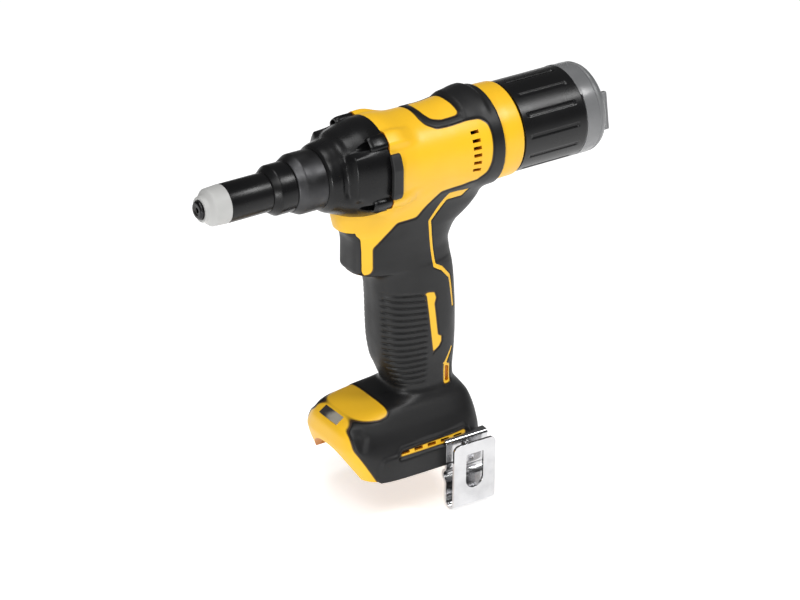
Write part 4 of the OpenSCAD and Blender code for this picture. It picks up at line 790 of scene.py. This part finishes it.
def light_pocket():
    """Pocket of the light's window, square to the foot's sloping deck."""
    half_w, half_h, corner_r, depth, above = 9.85, 3.35, 1.2, 3.2, 6
    middle, lean = (-98.13, 0, -169.64), -56
    outline = rounded(rectangle(-half_w, half_w, -half_h, half_h), corner_r)
    tilt = Matrix.Translation(middle) @ Matrix.Rotation(np.radians(lean), 4, "Y")
    return moved(prism("pocket", outline, -depth, above, 0), tilt)


def cuts(side):
    """Front housing's room, arch, light pocket, vents of barrel and foot, handle slot and screw holes."""
    front = box_mesh((-FRONT_S, -PAST, FRONT_ROOM_LOW), (-PAST, PAST, PAST))
    out = [front, front_arch(), light_pocket()]
    for t in VENT_ANGLES:
        vent = box_mesh((-VENT_ENDS[1], -VENT_HALF, VENT_FLOOR_R), (-VENT_ENDS[0], VENT_HALF, PAST))
        out.append(moved(vent, about_barrel(side * t)))
    for i in range(FOOT_VENTS):
        x = FOOT_VENT_X - FOOT_VENT_PITCH * i
        outline = rectangle(x - FOOT_VENT_HALF, x + FOOT_VENT_HALF, FOOT_VENT_LOW, FOOT_VENT_HIGH)
        out.append(side_cutter(rounded(outline, 0.5), side, FOOT_VENT_Y, PAST))
    out.append(side_cutter(rounded(SLOT, 0.8), side, SLOT_Y, PAST))
    if side < 0:
        out.extend(side_cutter(circle(x, z, SCREW_R), side, depth, PAST) for x, z, depth in SCREWS)
    return joined("cuts", *out)


for side, word in ((1, "left"), (-1, "right")):
    shell = carved(form_half(side), rooms(), cuts(side))
    piece("housing_" + word + "_skin", shell, "frame", "yellow", yellow, "housing_" + word, sharp=34)
    holes = [(x, z, SCREW_R + SEAT_GAP) for x, z, _ in SCREWS] if side < 0 else []
    skin = rubber_half(side, holes + [(-HOOK_S, HOOK_Z, HOOK_HOLE_R)])
    piece("grip_" + word + "_skin", skin, "frame", "rubber_black", rubber, "grip_" + word, sharp=0)

# Nose: piece, slot, finish, rounding of its corners, and its outline of place and radius
MANDREL_R, OPENER_R, OPENER_S = 1.65, 2.9, 22
UNDER_COVER_R, SLEEVE_BORE_R, SLEEVE_END_S = 10.5, 9.2, 88.1
COVER_TIP_S, COVER_R, COVER_BORE_R = 2.2, 12.6, UNDER_COVER_R + SEAT_GAP
NOSE = (
    ("nosepiece", "black_steel", black_steel, 0.35, [
        (0.6, MANDREL_R), (0.6, 2.7), (0, 3.2), (0, 4.8), (0.8, 5.8), (1.4, TIP_R), (SEAT_S, TIP_R),
        (SEAT_S, SHANK_R), (SHANK_S, SHANK_R), (SHANK_S, OPENER_R), (20.2, OPENER_R), (OPENER_S, 2.2),
        (OPENER_S, MANDREL_R)]),
    ("nose_cover", "cover_grey", cover_grey, 0.7, [
        (COVER_TIP_S, TIP_R + SEAT_GAP), (COVER_TIP_S, 7.8), (2.8, 8.3), (5.0, 8.6), (7.2, 11.1), (8.4, 12.0),
        (COVER_S, COVER_R), (COVER_S, COVER_BORE_R), (SEAT_S - SEAT_GAP, COVER_BORE_R),
        (SEAT_S - SEAT_GAP, TIP_R + SEAT_GAP)]),
    ("nose_sleeve", "black_steel", front_black, 0.4, [
        (SEAT_S, SHANK_R), (SEAT_S, UNDER_COVER_R), (COVER_S, UNDER_COVER_R), (COVER_S, SLEEVE_R),
        (COLLAR_S, SLEEVE_R), (COLLAR_S, CORE_R), (SLEEVE_END_S, CORE_R), (SLEEVE_END_S, SLEEVE_BORE_R),
        (SHANK_S, SLEEVE_BORE_R), (SHANK_S, SHANK_R)]),
    ("nose_collar", "black_steel", front_black, 0.7, [
        (COLLAR_S, CORE_R), (COLLAR_S, 12.9), (52.7, COLLAR_R), (RING_S, COLLAR_R), (RING_S, CORE_R)]),
    ("lock_ring", "ring_grey", ring_grey, 0.8, [
        (RING_S, CORE_R), (RING_S, 16.5), (69.5, RING_R), (WAIST_S, RING_R), (WAIST_S, CORE_R)]))
for name, slot, finish, r, outline in NOSE:
    piece(name + "_turned", lathe(name, rounded(outline, r)), "frame", slot, finish, name)

# Front housing: how far under the outline still counts as its skin, and the angles where its underside begins
SKIN_SLACK, UNDERSIDE_TURN = 0.05, (88, 120)


def flank(s, a, r):
    """Departure from the turned outline: the underside swells towards its own outline, and each flank steps
    up behind the waist to a flat pad, a squared section whose corners are cut by a circle."""
    pad_r, pad_growth, pad_grows, corner_r, square, hard = 28.9, 1.5, (98, 118), 31.6, 3, 16
    pad_front, pad_top, pad_low, pad_drop, pad_drops = (96.0, 100.4), (40, 54), (102, 116), 8, (100, 116)
    waist_depth, waist_s, waist_w, waist_top, waist_low = 1.3, 94.4, 2.4, (48, 64), (98, 114)
    turn = np.degrees(np.abs(np.arctan2(np.sin(a), np.cos(a))))
    outline = eased(s, SHOULDER)
    skin = (r > outline - SKIN_SLACK) & (s <= FRONT_S)
    low = r + (eased(s, UNDERSIDE) - outline) * step(*UNDERSIDE_TURN, turn)
    wide = pad_r + pad_growth * step(*pad_grows, s)
    flat = wide / (np.abs(np.sin(a)) ** square + np.abs(np.cos(a)) ** square) ** (1 / square)
    plane = (flat ** -hard + corner_r ** -hard) ** (-1 / hard)
    drop = pad_drop * step(*pad_drops, s)
    pad = step(*pad_front, s) * band(pad_top, (pad_low[0] + drop, pad_low[1] + drop), turn)
    waist = -waist_depth * np.exp(-((s - waist_s) / waist_w) ** 2) * band(waist_top, waist_low, turn)
    return np.where(skin, low + (plane - low) * pad + waist - r, 0)


def along_screw(name, sections, width, height, power, count):
    """Bar along a front screw at the top of the barrel: sections whose place, size and distance from the axis
    come from rows of a table, each an ellipse made squarer by a power below 1."""
    s, size, lift = (column[:, None] for column in np.array(sections, float).T)
    u = (np.arange(count) * TURN / count)[None, :]
    y, z = (reach * size * squared(wave, power) for reach, wave in ((width, np.cos(u)), (height, np.sin(u))))
    return lofted(name, np.stack([-s + 0 * u, y, lift + z], -1))


def front_housing_mesh():
    """Turned outline with a fuller underside and flat flank pads. Bosses of rounded squares, which swell from
    a low toe, are added, and round troughs, which narrow and climb out of the shoulder, are cut in front of
    the screws."""
    places = np.linspace(WAIST_S, FRONT_S, 110)
    spigot_s, bore_r, step_s = 128, 17.4, 90.1
    body = lathe("front", np.concatenate([
        [(WAIST_S, CORE_R)], np.stack([places, eased(places, SHOULDER)], 1),
        [(FRONT_S, CAVITY_R - SEAT_GAP), (spigot_s, CAVITY_R - SEAT_GAP), (spigot_s, bore_r),
         (step_s, bore_r), (step_s, CORE_R)]]), 300, flank)
    boss_lift = 28.6
    boss = [(s, size, boss_lift) for s, size in (
        (111.2, 0.02), (111.4, 0.8), (112.4, 0.92), (114, 0.97), (118, 1), (123.2, 1), (123.9, 0.95),
        (FRONT_S, 0.02))]
    trough = [(101.0, 0.05, 29.6), (101.4, 0.6, 29.5), (104, 1.5, 29.3), (107, 2.3, 29.4), (110, 2.9, 29.5),
              (113, 3.3, 29.4), (118.5, 3.5, 29.3)]
    bosses = [moved(along_screw("boss", boss, 5.7, 5.2, 0.6, 56), about_barrel(t)) for t in BOSSES]
    troughs = [moved(along_screw("trough", trough, 1, 1, 1, 40), about_barrel(t)) for t in BOSSES]
    return carved(carved(body, *bosses, operation="UNION"), *troughs)


piece("front_housing_moulded", front_housing_mesh(), "frame", "front_black", front_black, "front_housing",
      sharp=40, bevel=0.35)


def flank_bar(side):
    """Bar bent round the flank: a rounded bar section carried along a flattened arc, with eased ends."""
    bar_s, half_w, half_t, power = 125.8, 3.5, 1.9, 0.4
    flat_y, least_r, most_r = 32.1, 31.7, 33.0
    top, low, blunt, rows, cols = 58, 111, 14, 60, 48
    t = np.radians(np.linspace(top, low, rows))[:, None]
    end = np.sqrt(np.clip(1 - np.abs(np.linspace(-1, 1, rows)) ** blunt, 0, 1))[:, None]
    u = (np.arange(cols) * TURN / cols)[None, :]
    s = bar_s + half_w * squared(np.cos(u), power) * (0.75 + 0.25 * end)
    lift = half_t * squared(np.sin(u), power) * (0.35 + 0.65 * end)
    r = np.clip(flat_y / np.sin(t), least_r, most_r) + lift
    return lofted("bar", np.stack([-s, side * r * np.sin(t), r * np.cos(t)], -1))


bumpers = joined("bars", flank_bar(1), flank_bar(-1))
piece("side_bumpers_moulded", bumpers, "frame", "rubber_black", rubber_plain, "side_bumpers", sharp=50)

# Trigger: height share, front reach share, half width share, squareness
PULL = np.array([
    (0, 1, .48, 4.6), (.066, .95, .49, 4.4), (.15, .85, .5, 4.2), (.264, .78, .5, 4.2), (.46, .755, .5, 4.2),
    (.69, .755, .5, 4.2), (.88, .755, .5, 4.2), (.945, .735, .495, 4.1), (.98, .69, .48, 4),
    (1, .6, .45, 3.8)])


def trigger_mesh():
    """Finger pull: square-shouldered level cuts whose reach and width follow a table, on a round plunger. Its
    lower edge climbs towards the rear."""
    back, depth, width, top, height, climb = -125.98, 22.5, 22, -39.9, 30.6, 2.9
    plunger_r, plunger_front, plunger_back, plunger_z = 3, 120, 136.5, -56.8
    h = np.concatenate([[0, 0], np.linspace(0, 1, 90), [1, 1]])
    shrink = np.concatenate([[0.02, 0.97], np.ones(90), [0.9, 0.02]])[:, None]
    reach, half, square = (eased(h, PULL, i)[:, None] for i in (1, 2, 3))
    t = (np.arange(120) * TURN / 120)[None, :]
    ahead, aside = squared(np.cos(t), 2 / square), squared(np.sin(t), 2 / square)
    x = back + reach * depth / 2 * (1 + shrink * ahead)
    z = top - h[:, None] * (height - climb * (0.5 - 0.5 * ahead))
    finger = lofted("finger", np.stack([x, half * width * shrink * aside, z], -1))
    plunger = lathe("plunger", [(plunger_front, AXIS_R), (plunger_front, plunger_r),
                                (plunger_back, plunger_r), (plunger_back, AXIS_R)], 32)
    return joined("trigger", finger, moved(plunger, Matrix.Translation((0, 0, plunger_z))))


piece("trigger_moulded", trigger_mesh(), "trigger", "rubber_black", rubber_plain, "trigger", sharp=50)

# Rear ring, with a fine gap to the barrel and to the cup
RING_FROM, RING_TO, RING_BORE_R = BARREL_S + 0.5, REAR_S - 0.6, 26.4
piece("rear_ring_moulded", lathe("rear", rounded([
    (RING_FROM, RING_BORE_R), (RING_FROM, REAR_R - 0.9), (RING_FROM + 0.9, REAR_R - 0.2), (214, REAR_R),
    (RING_TO - 0.9, REAR_R - 0.2), (RING_TO, REAR_R - 0.9), (RING_TO, RING_BORE_R)], 0.6)),
    "frame", "yellow", yellow_plain, "rear_ring")


def cup_grooves(s, a, r):
    """Long shallow grooves round the cup's outside, eased at both ends."""
    count, depth, edge, front_end, rear_end, outside = 13, 0.8, (0.9, 1.6), (228, 230), (264, 266), r > 28
    pitch = TURN / count
    across = np.abs((a + pitch / 2) % pitch - pitch / 2) * CUP_R
    return -depth * (1 - step(*edge, across)) * band(front_end, rear_end, s) * outside


def cup_mesh():
    """Cup with its neck in the rear ring: a turned outline, close rows along its wall for the grooves."""
    mouth_s, neck_s, floor_s, inside_s = REAR_S + 0.5, 211, 214, 226.3
    tube_r, neck_r, neck_in_r, bore_r = 7, 25.8, 22.8, 26.6
    wall = np.linspace(mouth_s + 0.6, CUP_S - 1, 70)
    return lathe("cup", np.concatenate([
        [(neck_s, tube_r), (neck_s, neck_r), (mouth_s, neck_r), (mouth_s, 28.5), (mouth_s + 0.3, 29.2)],
        np.stack([wall, CUP_R + 0 * wall], 1),
        [(CUP_S - 0.4, 29.45), (CUP_S, 29.0), (CUP_S, bore_r), (inside_s, bore_r), (inside_s, neck_in_r),
         (floor_s, neck_in_r), (floor_s, tube_r)]]), 520, cup_grooves)


piece("container_cup_moulded", cup_mesh(), "container", "cup_black", cup_black, "container_cup")


def cap_mesh():
    """Clear end cap with its spigot and rim lines, a lip over part of the cup's edge, and a finger tab across
    its end."""
    spigot_s, spigot_r, face_s, wall_s, bore_r, axis_r = 264, 26.3, 287.3, 285.6, 23.9, 0.02
    from_s, lip_s, lip_from, lip_to = CUP_S + 0.3, 270.8, -130, 48
    tab_half, tab_r, tab_angle = 12.5, (19.4, 23.4), 80
    shell = lathe("cap", rounded([
        (spigot_s, bore_r), (spigot_s, spigot_r), (from_s, spigot_r), (from_s, CUP_R), (281.6, 29.7),
        (282.2, 29.1), (283, 29.1), (283.6, 29.5), (284.6, 29.3), (286.6, 28.3), (CAP_S, 26.8), (CAP_S, 24.4),
        (face_s, bore_r), (face_s, axis_r), (wall_s, axis_r), (wall_s, bore_r)], 0.4, 6))
    lip = sector("lip", [
        (lip_s, 29.65), (lip_s, 29.9), (273, 29.9), (273, 29.3), (272.35, 29.3), (272.35, 29.65)],
        lip_from, lip_to, 90)
    tab = prism("tab", rounded(rectangle(-tab_half, tab_half, *tab_r), 1.2), -TAB_S, -face_s + SEAT_GAP, 0)
    return joined("cap", shell, lip, moved(tab, about_barrel(tab_angle)))


piece("container_cap_moulded", cap_mesh(), "cap", "cap_clear", clear, "container_cap")


def hook_mesh():
    """Bent strip: a path seen from the front, offset by half its thickness to both sides and carried along
    its width; then its window, screw hole and rounded top corners are cut."""
    inner, outer, top, low = 39.2, 48.2, -190.5, -231.5
    half_t, half_w, bend, screw_r = 0.9, 16, 2.16, 2.2
    window_w, window_top, window_low = 6.7, -198, -216.3
    corner_w, corner_z, corner_r, clear_z, clear_w = 11.5, -194.5, 4.6, -185, 20
    path = np.concatenate([
        [(inner - 5.2, top)], arc(inner - bend, top - bend, bend, 90, 0, 9), [(inner, -207.5)],
        arc(inner - 4, -208.5, 4, 0, -35, 5), arc(inner + 1.2, -214.5, 4.4, 145, 205, 9),
        arc(inner - 4, -220.5, 4, 35, 0, 5),
        arc((inner + outer) / 2, low, (outer - inner) / 2, 180, 360, 28), [(outer, -190)]])
    run = np.gradient(path, axis=0)
    run /= np.linalg.norm(run, axis=1, keepdims=True)
    off = np.stack([-run[:, 1], run[:, 0]], 1) * half_t
    outline = np.concatenate([path + off, (path - off)[::-1]])
    strip = prism("strip", outline, -HOOK_S - half_w, -HOOK_S + half_w, 0)
    chamfer = 0.6
    outside, inside_leg = (45, 52), (36, 43)
    window = np.concatenate([
        arc(-HOOK_S, window_low, window_w, 180, 360, 25),
        [(-HOOK_S + window_w, window_top - chamfer), (-HOOK_S + window_w - chamfer, window_top),
         (-HOOK_S - window_w + chamfer, window_top), (-HOOK_S - window_w, window_top - chamfer)]])
    tools = [side_cutter(window, 1, *outside)]
    for s in (-1, 1):
        x, past = -HOOK_S + s * corner_w, -HOOK_S + s * clear_w
        corner = np.concatenate([arc(x, corner_z, corner_r, 90 - s * 90, 90, 13),
                                 [(x, clear_z), (past, clear_z), (past, corner_z)]])
        tools.append(side_cutter(corner, 1, *outside))
    tools.append(side_cutter(circle(-HOOK_S, HOOK_Z, screw_r), 1, *inside_leg))
    return carved(strip, joined("cuts", *tools))


piece("belt_hook_bent", hook_mesh(), "frame", "chrome", chrome, "belt_hook", sharp=40, bevel=0.3)

# Floor, light and camera, in metres
SKY_LIGHT, FLOOR_LIGHT = 0.12, 0.62


def floor():
    """Pale floor just under the tool, with a little light of its own."""
    half, z = 45.0, -0.2385
    mesh = bpy.data.meshes.new("floor")
    mesh.from_pydata([(u, v, z) for u, v in rectangle(-half, half, -half, half)], [], [(0, 1, 2, 3)])
    f = Finish("pale_floor", (0.9, 0.9, 0.9), 0.8, Emission_Color=(1, 1, 1, 1), Emission_Strength=FLOOR_LIGHT)
    mesh.materials.append(f.mat)
    o = bpy.data.objects.new("floor", mesh)
    bpy.context.scene.collection.objects.link(o)


def lamp(name, place, size, power):
    """Square soft box aimed at the middle of the tool, at a place counted from there."""
    data = bpy.data.lights.new(name, "AREA")
    data.size, data.energy = size, power
    o = bpy.data.objects.new(name, data)
    bpy.context.scene.collection.objects.link(o)
    o.location = LOOK + place
    o.rotation_mode = "QUATERNION"
    o.rotation_quaternion = (-place).to_track_quat("-Z", "Y")


# Camera: what it looks at, its angles, its distance, and its focal length and middle in pixels of the photo
LOOK = Vector((-0.142, 0, -0.08))
AZIMUTH, ELEVATION, ROLL = np.radians((146.148, 26.861, 0.621))
DISTANCE = 2.77576
PHOTO_W, PHOTO_H, SENSOR = 800, 600, 36
FOCAL, MIDDLE_U, MIDDLE_V = 4396.86, 389.836, 271.663
back = Vector((np.sin(AZIMUTH) * np.cos(ELEVATION), -np.cos(AZIMUTH) * np.cos(ELEVATION), np.sin(ELEVATION)))
level_right = Vector((np.cos(AZIMUTH), np.sin(AZIMUTH), 0))
level_up = back.cross(level_right)
right = level_right * np.cos(ROLL) + level_up * np.sin(ROLL)
up = level_up * np.cos(ROLL) - level_right * np.sin(ROLL)

floor()
lamp("main", Vector((-0.6, 0.62, 1.05)), 0.36, 7.2)
lamp("fill", Vector((0.5, 0.6, 0.95)), 0.5, 4.6)
lamp("top", Vector((0.25, -0.1, 1.4)), 0.6, 6)
lamp("low_front", Vector((0.9, 0.78, 0.02)), 0.2, 3.2)
lamp("camera_side", back * 1.1 + up * 0.5 - right * 0.4, 0.5, 2)
world = bpy.data.worlds.new("studio")
bpy.context.scene.world = world
world.use_nodes = True
sky = world.node_tree.nodes["Background"].inputs
sky["Color"].default_value = (1, 1, 1, 1)
sky["Strength"].default_value = SKY_LIGHT

cam = bpy.data.cameras.new("photo")
cam.sensor_fit, cam.sensor_width, cam.lens = "HORIZONTAL", SENSOR, FOCAL / PHOTO_W * SENSOR
cam.shift_x, cam.shift_y = (PHOTO_W / 2 - MIDDLE_U) / PHOTO_W, (MIDDLE_V - PHOTO_H / 2) / PHOTO_W
cam.clip_start, cam.clip_end = 0.05, 50
eye = bpy.data.objects.new("photo", cam)
bpy.context.scene.collection.objects.link(eye)
view = Matrix((right, up, back)).transposed().to_4x4()
view.translation = LOOK + back * DISTANCE
eye.matrix_world = view
bpy.context.scene.camera = eye
bpy.context.scene.view_settings.view_transform = "Standard"
